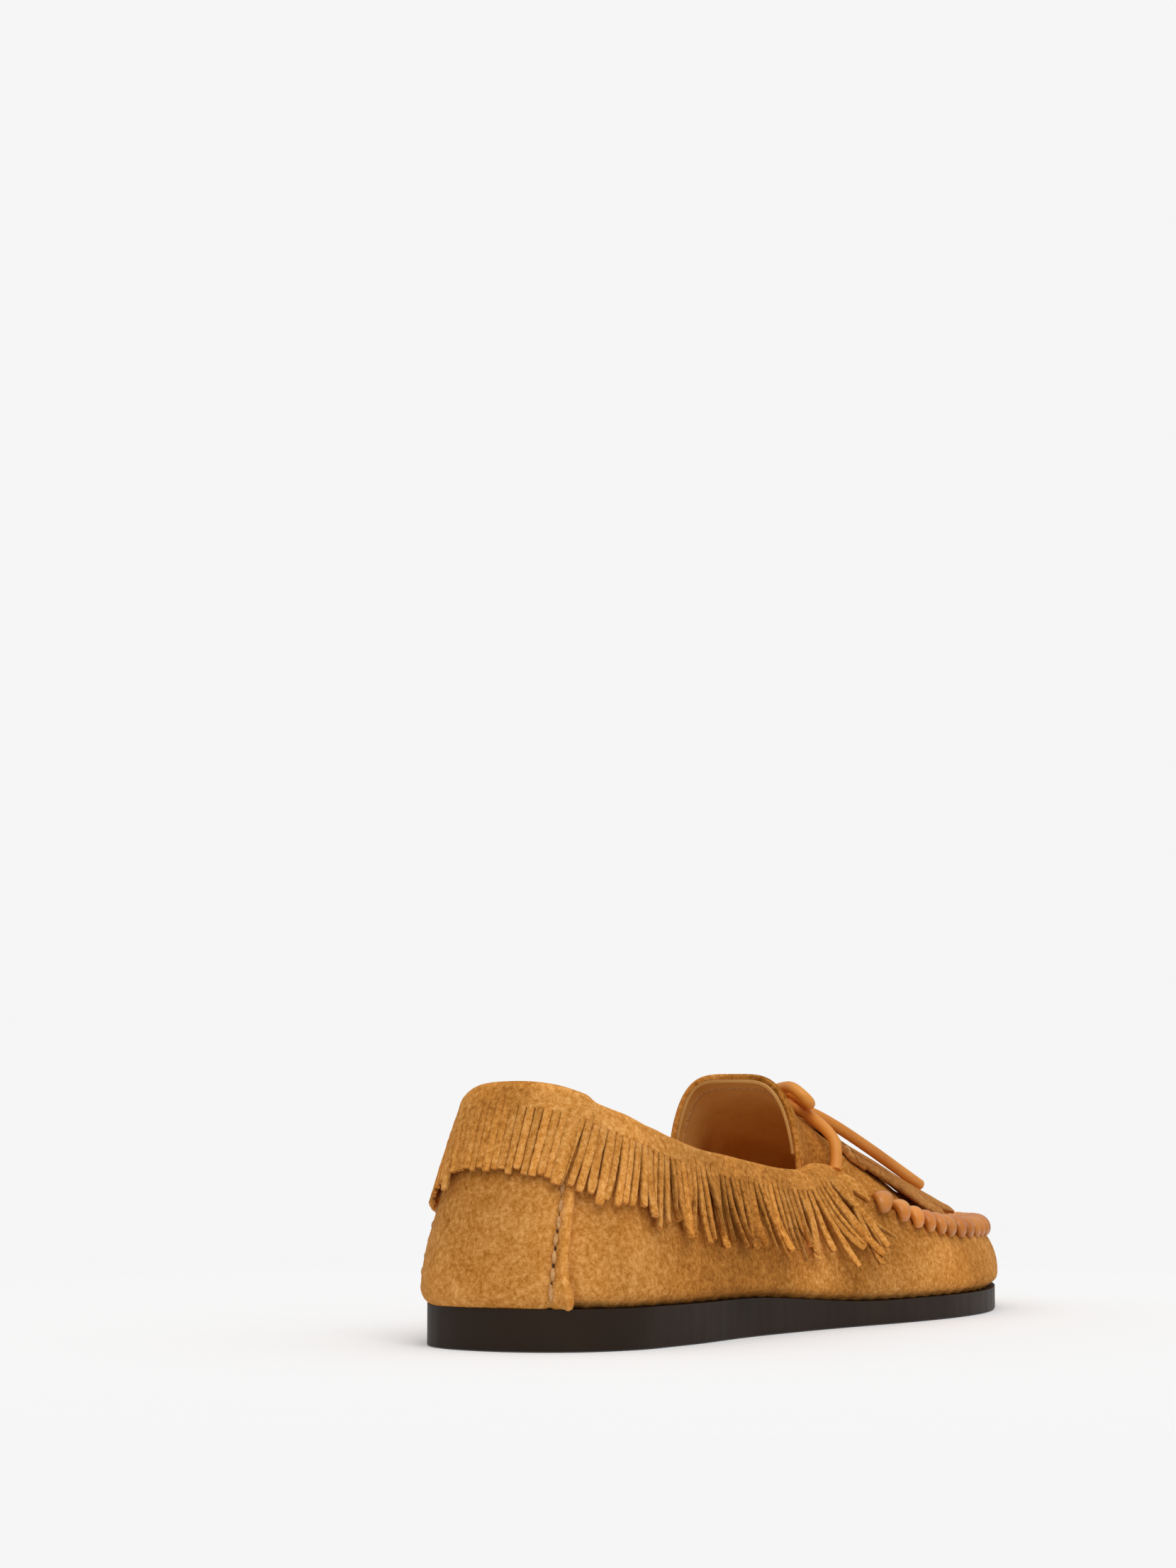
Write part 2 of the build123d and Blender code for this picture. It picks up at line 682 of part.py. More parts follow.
def make_kiltie():
    ts, cs = between(0, 1, 14), between(-1, 1, 20)
    outer = [[kiltie_point(t, c, KILTIE_THICK) for c in cs] for t in ts]
    inner = [[kiltie_point(t, c) for c in cs] for t in ts]
    flap = slab(outer, inner)
    for i in range(1, KILTIE_LEAVES):
        flap = flap - slit_prism(-1 + 2 * i / KILTIE_LEAVES)
    return flap


def make_kiltie_stitching():
    stitches = []
    for c in between(-0.9, 0.82, 12):
        ends = [kiltie_point(0.035, c + d, KILTIE_THICK + 0.15) for d in (0.0, 0.09)]
        stitches.append(capsule(ends[0], ends[1], 0.8))
    return Compound(stitches)


def make_bow_knot():
    block = Box(*KNOT_SIZE)
    block = fillet(block.edges(), KNOT_ROUND)
    return Pos(*KNOT) * Rotation(0, KNOT_TILT, 0) * block


def mirrored(points, side):
    """The route on the outer side as it is, or its mirror image on the inner side."""
    return [(x, -side * y, z) for x, y, z in points]


def make_lace_strand(side):
    return tube(f"lace_strand {side}", mirrored(STRAND, side), THONG)


def make_bow_loop(side):
    return tube(f"bow_loop {side}", mirrored(BOW_LOOP, side), THONG)


def make_lace_end(side):
    return tube(f"lace_end {side}", mirrored(LACE_END, side), THONG)


# ---- Export ----

ONE_OFF = {
    "outsole": make_outsole,
    "steel_shank": make_shank,
    "insole_board": make_insole_board,
    "heel_pad": make_heel_pad,
    "sock_lining": make_sock_lining,
    "vamp_wrap": make_vamp_wrap,
    "heel_panel": make_heel_panel,
    "heel_counter": make_heel_counter,
    "quarter_lining": make_quarter_lining,
    "vamp_lining": make_vamp_lining,
    "apron": make_apron,
    "apron_lining": make_apron_lining,
    "tongue_edge_stitching": make_tongue_stitching,
    "whipstitch_thong": make_whipstitch,
    "collar_fringe": make_collar_fringe,
    "collar_lace": make_collar_lace,
    "kiltie": make_kiltie,
    "kiltie_stitching": make_kiltie_stitching,
    "bow_knot": make_bow_knot,
}

BOTH_SIDES = {
    "heel_seam_stitching": make_heel_stitching,
    "lace_strand": make_lace_strand,
    "bow_loop": make_bow_loop,
    "lace_end": make_lace_end,
}

SIDES = {"outer": -1, "inner": 1}


def save(name, shape):
    export_step(Pos(-CENTRE_X, -CENTRE_Y, 0) * shape, f"parts/{name}.step")


def main():
    os.makedirs("parts", exist_ok=True)
    for name, make in ONE_OFF.items():
        save(name, make())
    for name, make in BOTH_SIDES.items():
        for side_name, side in SIDES.items():
            save(f"{name}_{side_name}", make(side))


if __name__ == "__main__":
    main()
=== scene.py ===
import math

import bmesh
import bpy
import numpy as np
from mathutils import Euler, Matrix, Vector


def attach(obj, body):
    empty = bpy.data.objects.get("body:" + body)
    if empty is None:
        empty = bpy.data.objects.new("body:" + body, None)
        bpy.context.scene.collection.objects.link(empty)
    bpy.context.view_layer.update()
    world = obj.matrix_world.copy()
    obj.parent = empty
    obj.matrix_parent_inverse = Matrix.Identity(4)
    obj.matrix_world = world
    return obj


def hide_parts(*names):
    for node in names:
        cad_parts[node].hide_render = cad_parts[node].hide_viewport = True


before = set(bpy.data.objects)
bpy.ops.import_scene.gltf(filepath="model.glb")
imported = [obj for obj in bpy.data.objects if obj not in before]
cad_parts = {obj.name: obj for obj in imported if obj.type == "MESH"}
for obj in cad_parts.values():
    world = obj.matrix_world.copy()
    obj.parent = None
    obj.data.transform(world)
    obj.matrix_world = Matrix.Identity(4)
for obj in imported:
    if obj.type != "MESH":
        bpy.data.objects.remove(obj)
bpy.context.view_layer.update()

# Lengths are in millimetres in the shoe's own frame, +X to the toe and +Y to the inner side of the foot, and
# become metres in the row frame when a mesh is made.
ROW_SHIFT = np.array([0.4, -0.6, 0.0])

# ---- Driving dimensions ----

TOE_END = 133.0
HEEL_END = -133.0
SOLE_HEEL = 9.6
SOLE_FRONT = 6.1
SOLE_WEDGE_FROM = -60.0
SOLE_WEDGE_TO = 10.0
SOLE_HEEL_EXTRA = 0.4
TOE_SPRING = 1.8
TOE_SPRING_FROM = 60.0

SUEDE = 1.6
LINING = 0.9
COUNTER = 1.2
BAND = 1.3
LAYER_GAP = 0.15

TUCK = 2.2
TUCK_HEIGHT = 1.6
BULGE = 0.9
BULGE_HEIGHT = 5.5

SEAM_PLACE = 16.3
INNER_SEAM_EXTRA = 15.0
SEAM_SPREAD = 3.5
SEAM_MARGIN = 3.2
SEAM_FLARE = 2.6
SEAM_FLARE_UP = 0.12
WRAP_UNDER_PANEL = 3.0
PANEL_PRESS = 0.7
PANEL_FROM = 0.025
PANEL_PRESS_FADE = 9.0

FEATHER = 8.2
INSOLE = 2.2
PAD_THICK = 3.0
PAD_END = -70.0
PAD_TAPER = 22.0
SOCK = 1.2

FOLD_RISE = 1.4
INNER_FLAP = 6.5
INNER_FLAP_TAPER = 3.5
FLAP_TAPER_LENGTH = 14.0
FRINGE_DROP_HEEL = 16.5
FRINGE_DROP_FRONT = 20.0
BAND_DROP = 2.4
BAND_WRAPS_ON = 4.5
STRIP_START = 0.6
STRIP_PITCH = 2.6
STRIP_WIDE = 2.3
STRIP_LEAN = 1.25
STRIP_THICK = 1.15

THONG = 3.2
WHIP_PITCH = 7.4
WHIP_WIDE = 5.85
WHIP_THICK = 3.45
WHIP_RISE = 2.6
THREAD = 1.15
STITCH_PITCH = 4.2

KILTIE_THICK = 1.3
KILTIE_LEAVES = 11
KILTIE_START = 0.183
KILTIE_SIDE_REACH = 0.44
KILTIE_TOE_REACH = 0.88
KILTIE_ROOT_SHARE = 0.72
KILTIE_TIP_SHARE = 0.90
KILTIE_LIFT_ROOT = 0.7
KILTIE_LIFT = 0.9
LEAF_WIDTH = 7.0
LEAF_TIP_WIDTH = 3.6

KNOT = np.array([12.5, 0.0, 61.0])
STRAND = [(4.2, -26.4, 41.0), (7.7, -25.4, 47.4), (10.0, -21.4, 51.4), (11.6, -15.6, 55.3),
          (12.4, -9.2, 58.2), (12.5, -3.2, 59.7)]
BOW_LOOP = [(10.0, -5.6, 62.8), (7.6, -9.8, 63.6), (4.8, -13.4, 63.2), (4.4, -16.4, 61.2), (6.6, -17.6, 59.0),
            (10.4, -15.2, 58.6), (12.8, -11.4, 60.6), (14.8, -5.8, 62.4)]
LACE_END = [(18.4, -5.4, 58.4), (22.2, -9.4, 56.8), (29.5, -14.2, 52.6), (42.0, -17.8, 46.6),
            (56.0, -20.0, 40.6), (68.0, -21.6, 35.6)]

# One row per place round the shoe, from the middle of the heel along the outer side, round the toe and back
# along the inner side: the wall's foot on the sole (x, y), its top edge (x, y, z) and how late it leans in.
STATIONS = np.array([
    (-133.0, 0.0, -119.6, 0.0, 59.8, 1.5),
    (-128.5, -16.7, -116.8, -12.8, 58.4, 1.5),
    (-115.0, -28.1, -107.8, -21.3, 54.0, 1.5),
    (-91.0, -31.9, -87.5, -24.8, 47.6, 1.5),
    (-53.0, -31.7, -52.5, -26.2, 41.5, 1.5),
    (-18.0, -35.0, -18.0, -27.2, 38.0, 1.6),
    (5.0, -38.8, 6.0, -27.8, 37.8, 1.7),
    (13.0, -40.3, 14.0, -34.9, 31.8, 1.9),
    (24.0, -41.9, 24.5, -37.4, 28.0, 2.0),
    (47.0, -43.5, 47.0, -37.6, 24.3, 2.2),
    (74.0, -40.5, 74.0, -34.6, 22.8, 2.6),
    (99.0, -30.5, 96.5, -26.5, 22.7, 3.2),
    (117.0, -17.0, 109.5, -15.5, 22.6, 3.8),
    (128.0, -5.0, 115.5, -5.0, 22.6, 4.2),
    (133.0, 7.0, 117.0, 7.0, 22.6, 4.4),
    (129.0, 19.0, 114.5, 18.0, 22.6, 4.2),
    (117.0, 31.0, 107.0, 27.5, 22.6, 3.8),
    (97.0, 40.0, 92.0, 34.5, 22.7, 3.2),
    (72.0, 44.5, 71.0, 38.2, 22.8, 2.6),
    (47.0, 43.5, 47.0, 37.6, 24.3, 2.2),
    (24.0, 39.0, 24.5, 35.2, 28.0, 2.0),
    (13.0, 36.5, 14.0, 33.0, 31.8, 1.9),
    (5.0, 34.7, 6.0, 27.4, 37.8, 1.7),
    (-18.0, 30.4, -18.0, 25.8, 38.0, 1.6),
    (-53.0, 28.3, -52.5, 24.4, 41.5, 1.5),
    (-91.0, 30.8, -87.5, 24.0, 47.6, 1.5),
    (-115.0, 27.5, -107.8, 21.0, 54.0, 1.5),
    (-128.5, 16.7, -116.8, 12.8, 58.8, 1.5),
])
COLLAR_FRONT_OUTER = 6
SEAM_START_OUTER = 7
SEAM_START_INNER = 21
COLLAR_FRONT_INNER = 22

# Apron and tongue: the ridge along the middle (x, z) and the side edge behind the sewn seam (x, half width,
# z)
MOUTH_X = -5.0
RIDGE = np.array([(-5.0, 67.0), (8.0, 59.8), (21.0, 52.8), (29.0, 48.9), (50.0, 40.4), (80.0, 30.0),
                  (100.0, 25.4), (117.0, 23.0)])
MOUTH_SQUARE = 22.0
MOUTH_HALF = 20.5
MOUTH_LOW = 40.5
TUCKED_X = 7.0
TUCKED_HALF = 21.9
TUCKED_LOW = 36.0
SEAM_INSET = 1.5


# ---- Curves ----

def smooth(knots, values, at):
    """A smooth line through values at the knots; the slope at each knot comes from its neighbours."""
    at = np.asarray(at, float)
    slopes = np.gradient(values, knots, axis=0)
    i = np.clip(np.searchsorted(knots, at) - 1, 0, len(knots) - 2)
    step = knots[i + 1] - knots[i]
    t = (at - knots[i]) / step
    if values.ndim == 2:
        step, t = step[..., None], t[..., None]
    start = (2 * t**3 - 3 * t**2 + 1) * values[i] + (t**3 - 2 * t**2 + t) * step * slopes[i]
    end = (3 * t**2 - 2 * t**3) * values[i + 1] + (t**3 - t**2) * step * slopes[i + 1]
    return start + end


def ease(t):
    """0 below 0, 1 above 1, and a smooth step between."""
    t = np.clip(t, 0.0, 1.0)
    return t * t * (3 - 2 * t)


def unit(v):
    v = np.asarray(v, float)
    return v / np.maximum(np.linalg.norm(v, axis=-1, keepdims=True), 1e-9)


def wobble(points, size, seed):
    """A smooth random value of about -1 to 1 at each point; size is the width of one bump in millimetres."""
    draw = np.random.default_rng(seed)
    total = 0.0
    for _ in range(7):
        wave = unit(draw.normal(size=3)) * math.pi / size * draw.uniform(0.7, 1.4)
        total = total + np.sin(points @ wave + draw.uniform(0, 2 * math.pi))
    return total / 3


CLOSED = np.vstack([STATIONS, STATIONS[:1]])
STEPS = np.linalg.norm(np.diff(CLOSED[:, :2], axis=0), axis=1)
PLACES = np.concatenate([[0.0], np.cumsum(STEPS)])
AROUND = PLACES[-1]
RING_PLACES = np.concatenate([PLACES[-4:-1] - AROUND, PLACES, PLACES[1:4] + AROUND])
RING_ROWS = np.vstack([STATIONS[-3:], CLOSED, STATIONS[1:4]])
COLLAR_OUTER = PLACES[COLLAR_FRONT_OUTER]
COLLAR_INNER = PLACES[COLLAR_FRONT_INNER] - AROUND
SEAM_FROM = PLACES[SEAM_START_OUTER] + 1.0
SEAM_TO = PLACES[SEAM_START_INNER] - 1.0


def ring(place):
    """The station at a distance round the sole's edge from the middle of the heel, outer side first."""
    return smooth(RING_PLACES, RING_ROWS, np.asarray(place, float) % AROUND)


def sole_lift(x):
    return TOE_SPRING * np.maximum(0.0, (x - TOE_SPRING_FROM) / (TOE_END - TOE_SPRING_FROM))**2


def sole_top(x):
    wedge = 1 - ease((x - SOLE_WEDGE_FROM) / (SOLE_WEDGE_TO - SOLE_WEDGE_FROM))
    extra = SOLE_HEEL_EXTRA * np.maximum(0.0, (SOLE_WEDGE_FROM - x) / (SOLE_WEDGE_FROM - HEEL_END))
    return sole_lift(x) + SOLE_FRONT + (SOLE_HEEL - SOLE_FRONT) * wedge + extra


# ---- Upper surfaces ----

def from_heel(place):
    """The distance round the sole's edge from the middle of the heel, on either side."""
    place = np.asarray(place, float) % AROUND
    return np.minimum(place, AROUND - place)


def past_panel(place):
    """How far in front of the heel panel's edge a place is; the panel goes further round the inner side."""
    extra = np.where(np.asarray(place, float) % AROUND > AROUND / 2, INNER_SEAM_EXTRA, 0.0)
    return from_heel(place) - SEAM_PLACE - SEAM_SPREAD - SEAM_MARGIN - extra


def under_panel(place):
    """1 where the heel panel presses the wall in, fading to 0 in front of its edge."""
    beyond = past_panel(place)
    return 1 - ease(beyond / PANEL_PRESS_FADE)


def seam_place(up, side=1):
    """The heel seam's place at a height; side is 1 for the outer seam and -1 for the inner."""
    return side * (SEAM_PLACE + SEAM_SPREAD * up) - (INNER_SEAM_EXTRA if side < 0 else 0.0)


def panel_edge(up, side=1):
    return seam_place(up, side) + side * (SEAM_MARGIN + SEAM_FLARE * np.exp(-(up / SEAM_FLARE_UP)**2))


def plan_outward(place):
    ahead = (ring(place + 0.5) - ring(place - 0.5))[..., :2]
    return unit(np.stack([ahead[..., 1], -ahead[..., 0]], axis=-1))


def wall_face(place, up):
    """The outer face of the upper; up is 0 at the sole and 1 at the top edge."""
    place, up = np.broadcast_arrays(np.asarray(place, float), np.asarray(up, float))
    row = ring(place)
    base = sole_top(row[..., 0]) + LAYER_GAP
    height = up * (row[..., 4] - base)
    h = height / BULGE_HEIGHT
    bulge = BULGE * h * np.exp(1 - h) - TUCK * np.exp(-(height / TUCK_HEIGHT)**2)
    bulge = bulge - PANEL_PRESS * under_panel(place)
    lean = np.maximum(up, 0.0)**row[..., 5]
    plan = row[..., :2] + (row[..., 2:4] - row[..., :2]) * lean[..., None]
    plan = plan + plan_outward(place) * bulge[..., None]
    return np.concatenate([plan, (base + height)[..., None]], axis=-1)


def wall_frame(place, up):
    """The outward direction and the upward direction along the wall."""
    along = wall_face(place + 0.5, up) - wall_face(place - 0.5, up)
    rise = wall_face(place, up + 0.01) - wall_face(place, up - 0.01)
    return unit(np.cross(along, rise)), unit(rise)


def wall(place, up, out=0.0):
    place, up = np.asarray(place, float), np.asarray(up, float)
    out = np.asarray(out, float)[..., None]
    return wall_face(place, up) + out * wall_frame(place, up)[0]


def wall_height(place):
    row = ring(place)
    return row[..., 4] - sole_top(row[..., 0]) - LAYER_GAP


def up_at(place, z):
    """How far up the wall a height lies."""
    return (z - sole_top(ring(place)[..., 0]) - LAYER_GAP) / wall_height(place)


def apron_side(u, side):
    """The edge of the apron at a share u of the way from the mouth to the toe corner; side -1 is outer."""
    start, corner = (SEAM_START_OUTER, 12) if side < 0 else (SEAM_START_INNER, 16)
    length = STATIONS[corner, 2] - MOUTH_X
    knots = [0.0, (TUCKED_X - MOUTH_X) / length]
    points = [(MOUTH_X, side * MOUTH_HALF, MOUTH_LOW), (TUCKED_X, side * TUCKED_HALF, TUCKED_LOW)]
    stations = range(start, corner + 1) if side < 0 else range(start, corner - 1, -1)
    for station in stations:
        x, y, z = STATIONS[station, 2:5]
        inset = SEAM_INSET if station != start else 2.4 * SEAM_INSET
        points.append((x - (0.5 * inset if station == corner else 0.0), y - side * inset, z + 0.3))
        knots.append((x - MOUTH_X) / length)
    return smooth(np.array(knots), np.array(points), u)


def apron_front(w):
    """The toe edge of the apron, from the outer corner at w = 0 to the inner corner at w = 1."""
    points = [apron_side(1.0, -1)]
    for station in (13, 14, 15):
        x, y, z = STATIONS[station, 2:5]
        points.append(np.array([x - SEAM_INSET, y, z + 0.3]))
    points.append(apron_side(1.0, 1))
    points = np.array(points)
    steps = np.concatenate([[0.0], np.cumsum(np.linalg.norm(np.diff(points, axis=0), axis=1))])
    return smooth(steps / steps[-1], points, w)


def apron_face(u, w):
    """The outer face of the apron and tongue; u runs from mouth to toe, w from the outer side across."""
    u, w = np.broadcast_arrays(np.asarray(u, float), np.asarray(w, float))
    shared_u, shared_w = u[..., None], w[..., None]
    outer, inner, front = apron_side(u, -1), apron_side(u, 1), apron_front(w)
    mouth = (1 - shared_w) * apron_side(0.0, -1) + shared_w * apron_side(0.0, 1)
    toe = (1 - shared_w) * apron_side(1.0, -1) + shared_w * apron_side(1.0, 1)
    corners = (1 - shared_u) * mouth + shared_u * toe
    point = (1 - shared_w) * outer + shared_w * inner + (1 - shared_u) * mouth + shared_u * front - corners
    square = 1 - ease((point[..., 0] - MOUTH_X) / MOUTH_SQUARE)
    across = np.abs(2 * w - 1)**(2 + 2 * square)
    crown = np.maximum(0.0, 1 - across)**(1 / (1 + 0.7 * square)) * (1 - u**8)
    ridge = smooth(RIDGE[:, 0], RIDGE[:, 1], point[..., 0])
    point[..., 2] += np.maximum(0.0, ridge - point[..., 2]) * crown
    return point


def apron_outward(u, w):
    u, w = np.broadcast_arrays(np.asarray(u, float), np.asarray(w, float))
    reach = 0.004
    along = apron_face(np.minimum(u + reach, 1.0), w) - apron_face(np.maximum(u - reach, 0.0), w)
    across = apron_face(u, np.minimum(w + reach, 1.0)) - apron_face(u, np.maximum(w - reach, 0.0))
    return unit(np.cross(along, across))


def apron(u, w, out=0.0):
    return apron_face(u, w) + np.asarray(out, float)[..., None] * apron_outward(u, w)


# ---- Mesh building ----

def add_mesh(name, geometry, material, body, nodes=(), sharp=55):
    """A mesh object from points in millimetres, faces and a tone for each point, on a body of the frame; the
    tone holds random tone and also painted shade and light.
    """
    points, faces, tones = geometry
    mesh = bpy.data.meshes.new(name)
    mesh.from_pydata(((points + ROW_SHIFT) / 1000).tolist(), [], faces)
    tone = mesh.attributes.new("tone", "FLOAT", "POINT")
    tone.data.foreach_set("value", np.asarray(tones, float))
    work = bmesh.new()
    work.from_mesh(mesh)
    bmesh.ops.recalc_face_normals(work, faces=work.faces)
    work.to_mesh(mesh)
    work.free()
    mesh.shade_smooth()
    mesh.set_sharp_from_angle(angle=math.radians(sharp))
    mesh.materials.append(material)
    piece = bpy.data.objects.new(name, mesh)
    bpy.context.scene.collection.objects.link(piece)
    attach(piece, body)
    if nodes:
        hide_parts(*nodes)
    return piece


def joined(parts):
    """Several pieces of geometry as one."""
    points, faces, tones, start = [], [], [], 0
    for part_points, part_faces, part_tones in parts:
        points.append(part_points)
        faces += [[index + start for index in face] for face in part_faces]
        tones.append(np.broadcast_to(part_tones, len(part_points)))
        start += len(part_points)
    return np.vstack(points), faces, np.concatenate(tones)


def grid_faces(rows, cols, start=0):
    corner = start + np.arange(rows - 1)[:, None] * cols + np.arange(cols - 1)[None, :]
    corner = corner.ravel()
    return np.stack([corner, corner + 1, corner + cols + 1, corner + cols], axis=1).tolist()


def shell(outer, inner, tones=0.5, rounding=0.3, edge_tone=0.0):
    """A closed sheet of leather between two grids of points, with rounded cut edges."""
    rows, cols = outer.shape[:2]
    loop = [(0, j) for j in range(cols)] + [(i, cols - 1) for i in range(1, rows)]
    loop += [(rows - 1, j) for j in range(cols - 2, -1, -1)] + [(i, 0) for i in range(rows - 2, 0, -1)]
    i = np.array([pair[0] for pair in loop])
    j = np.array([pair[1] for pair in loop])
    within_i, within_j = np.clip(i, 1, rows - 2), np.clip(j, 1, cols - 2)
    away = unit(outer[i, j] - outer[within_i, within_j])
    thick = np.linalg.norm(outer[i, j] - inner[i, j], axis=1, keepdims=True)
    middle = (outer[i, j] + inner[i, j]) / 2 + away * thick * rounding
    points = np.vstack([outer.reshape(-1, 3), inner.reshape(-1, 3), middle])
    faces = grid_faces(rows, cols) + grid_faces(rows, cols, rows * cols)
    edge = i * cols + j
    count = len(loop)
    for here in range(count):
        after = (here + 1) % count
        a, b = int(edge[here]), int(edge[after])
        middle_a, middle_b = 2 * rows * cols + here, 2 * rows * cols + after
        faces.append([a, b, middle_b, middle_a])
        faces.append([middle_a, middle_b, b + rows * cols, a + rows * cols])
    face_tones = np.broadcast_to(tones, (rows, cols)).ravel()
    middle_tones = face_tones[edge] + edge_tone
    return points, faces, np.concatenate([face_tones, face_tones, middle_tones])


def bar(path, across, normal, wide, thick, tones=0.5, sides=10, square=0.7, painted_side_shade=0.0):
    """A solid strap along a path, of rounded rectangles with closed ends; the last argument paints shade on
    its two sides.
    """
    count = len(path)
    angle = np.linspace(0, 2 * math.pi, sides, endpoint=False)
    flat = np.sign(np.cos(angle)) * np.abs(np.cos(angle))**square
    tall = np.sign(np.sin(angle)) * np.abs(np.sin(angle))**square
    wide = np.broadcast_to(wide, count)[:, None, None] / 2
    thick = np.broadcast_to(thick, count)[:, None, None] / 2
    rings = path[:, None, :] + across[:, None, :] * flat[None, :, None] * wide
    rings = rings + normal[:, None, :] * tall[None, :, None] * thick
    faces = []
    for row in range(count - 1):
        for side in range(sides):
            after = (side + 1) % sides
            faces.append([row * sides + side, row * sides + after, (row + 1) * sides + after,
                          (row + 1) * sides + side])
    faces.append(list(range(sides)))
    faces.append([(count - 1) * sides + side for side in range(sides)])
    # Painted shade: the two sides are darkened by the last argument, as in the gaps between neighbouring
    # straps.
    shades = np.broadcast_to(tones, count)[:, None] + painted_side_shade * np.abs(np.cos(angle))[None, :]**4
    return rings.reshape(-1, 3), faces, shades.ravel()


def loop_bar(path, across, normal, wide, thick, tone=0.5, sides=12):
    """A closed ring of thong round a path that ends where it starts."""
    points, faces, shades = bar(path, across, normal, wide, thick, tone, sides, 1.0)
    faces = faces[:-2]
    last = (len(path) - 1) * sides
    for side in range(sides):
        after = (side + 1) % sides
        faces.append([last + side, last + after, after, side])
    return points, faces, shades


# ---- Materials ----

def tint(red, green, blue):
    """A screen colour, 0 to 255, as the linear colour that shaders take."""
    def linear(value):
        value = value / 255
        return value / 12.92 if value <= 0.04045 else ((value + 0.055) / 1.055)**2.4

    return (linear(red), linear(green), linear(blue), 1.0)


class Nodes:
    """A material's node tree, with short calls for the nodes that several materials share."""

    def __init__(self, name):
        self.material = bpy.data.materials.new(name)
        self.material.use_nodes = True
        self.tree = self.material.node_tree
        self.shader = self.tree.nodes["Principled BSDF"]
        self.where = self.tree.nodes.new("ShaderNodeTexCoord").outputs["Object"]

    def link(self, source, target):
        self.tree.links.new(source, target)

    def value(self, socket, number):
        self.shader.inputs[socket].default_value = number

    def noise(self, size, detail=3.0, rough=0.55, stretch=None, distortion=0.0):
        """Noise whose bumps are about size millimetres wide."""
        node = self.tree.nodes.new("ShaderNodeTexNoise")
        node.inputs["Scale"].default_value = 1000 / size / 2
        node.inputs["Detail"].default_value = detail
        node.inputs["Roughness"].default_value = rough
        node.inputs["Distortion"].default_value = distortion
        where = self.where
        if stretch:
            mapping = self.tree.nodes.new("ShaderNodeMapping")
            mapping.inputs["Scale"].default_value = stretch
            self.link(where, mapping.inputs["Vector"])
            where = mapping.outputs["Vector"]
        self.link(where, node.inputs["Vector"])
        return node.outputs["Fac"]

    def cells(self, size):
        node = self.tree.nodes.new("ShaderNodeTexVoronoi")
        node.inputs["Scale"].default_value = 1000 / size
        self.link(self.where, node.inputs["Vector"])
        return node.outputs["Distance"]

    def ramp(self, source, stops):
        node = self.tree.nodes.new("ShaderNodeValToRGB")
        elements = node.color_ramp.elements
        while len(elements) < len(stops):
            elements.new(0.5)
        for element, (position, colour) in zip(elements, stops):
            element.position = position
            element.color = colour
        self.link(source, node.inputs["Fac"])
        return node.outputs["Color"]

    def maths(self, operation, first, second, third=None):
        node = self.tree.nodes.new("ShaderNodeMath")
        node.operation = operation
        for index, item in enumerate((first, second, third)):
            if item is None:
                continue
            if isinstance(item, (int, float)):
                node.inputs[index].default_value = item
            else:
                self.link(item, node.inputs[index])
        return node.outputs["Value"]

    def mix(self, kind, amount, first, second):
        node = self.tree.nodes.new("ShaderNodeMix")
        node.data_type = "RGBA"
        node.blend_type = kind
        if isinstance(amount, (int, float)):
            node.inputs["Factor"].default_value = amount
        else:
            self.link(amount, node.inputs["Factor"])
        for socket, item in ((node.inputs[6], first), (node.inputs[7], second)):
            if isinstance(item, tuple):
                socket.default_value = item
            else:
                self.link(item, socket)
        return node.outputs[2]

    def fade_out(self, solid, gone):
        """Make the surface clear beyond a distance from the middle; solid and gone are in metres."""
        distance = self.tree.nodes.new("ShaderNodeVectorMath")
        distance.operation = "LENGTH"
        self.link(self.where, distance.inputs[0])
        share = self.tree.nodes.new("ShaderNodeMapRange")
        share.interpolation_type = "SMOOTHSTEP"
        share.inputs["From Min"].default_value = solid
        share.inputs["From Max"].default_value = gone
        share.inputs["To Min"].default_value = 1.0
        share.inputs["To Max"].default_value = 0.0
        self.link(distance.outputs["Value"], share.inputs["Value"])
        self.link(share.outputs["Result"], self.shader.inputs["Alpha"])

    def tone(self):
        node = self.tree.nodes.new("ShaderNodeAttribute")
        node.attribute_name = "tone"
        return node.outputs["Fac"]

    def toned(self, colour, strength=1.0):
        """The colour made darker or lighter where the mesh's tone is below or above a half; this carries the
        painted shade and light held in the tone.
        """
        factor = self.maths("MULTIPLY_ADD", self.tone(), 2.0 * strength, 1.0 - strength)
        grey = self.tree.nodes.new("ShaderNodeCombineColor")
        for channel in ("Red", "Green", "Blue"):
            self.link(factor, grey.inputs[channel])
        return self.mix("MULTIPLY", 1.0, colour, grey.outputs["Color"])

    def bump(self, height, strength, depth, below=None):
        """Relief of depth millimetres."""
        node = self.tree.nodes.new("ShaderNodeBump")
        node.inputs["Strength"].default_value = strength
        node.inputs["Distance"].default_value = depth / 1000
        self.link(height, node.inputs["Height"])
        if below is not None:
            self.link(below, node.inputs["Normal"])
        return node.outputs["Normal"]


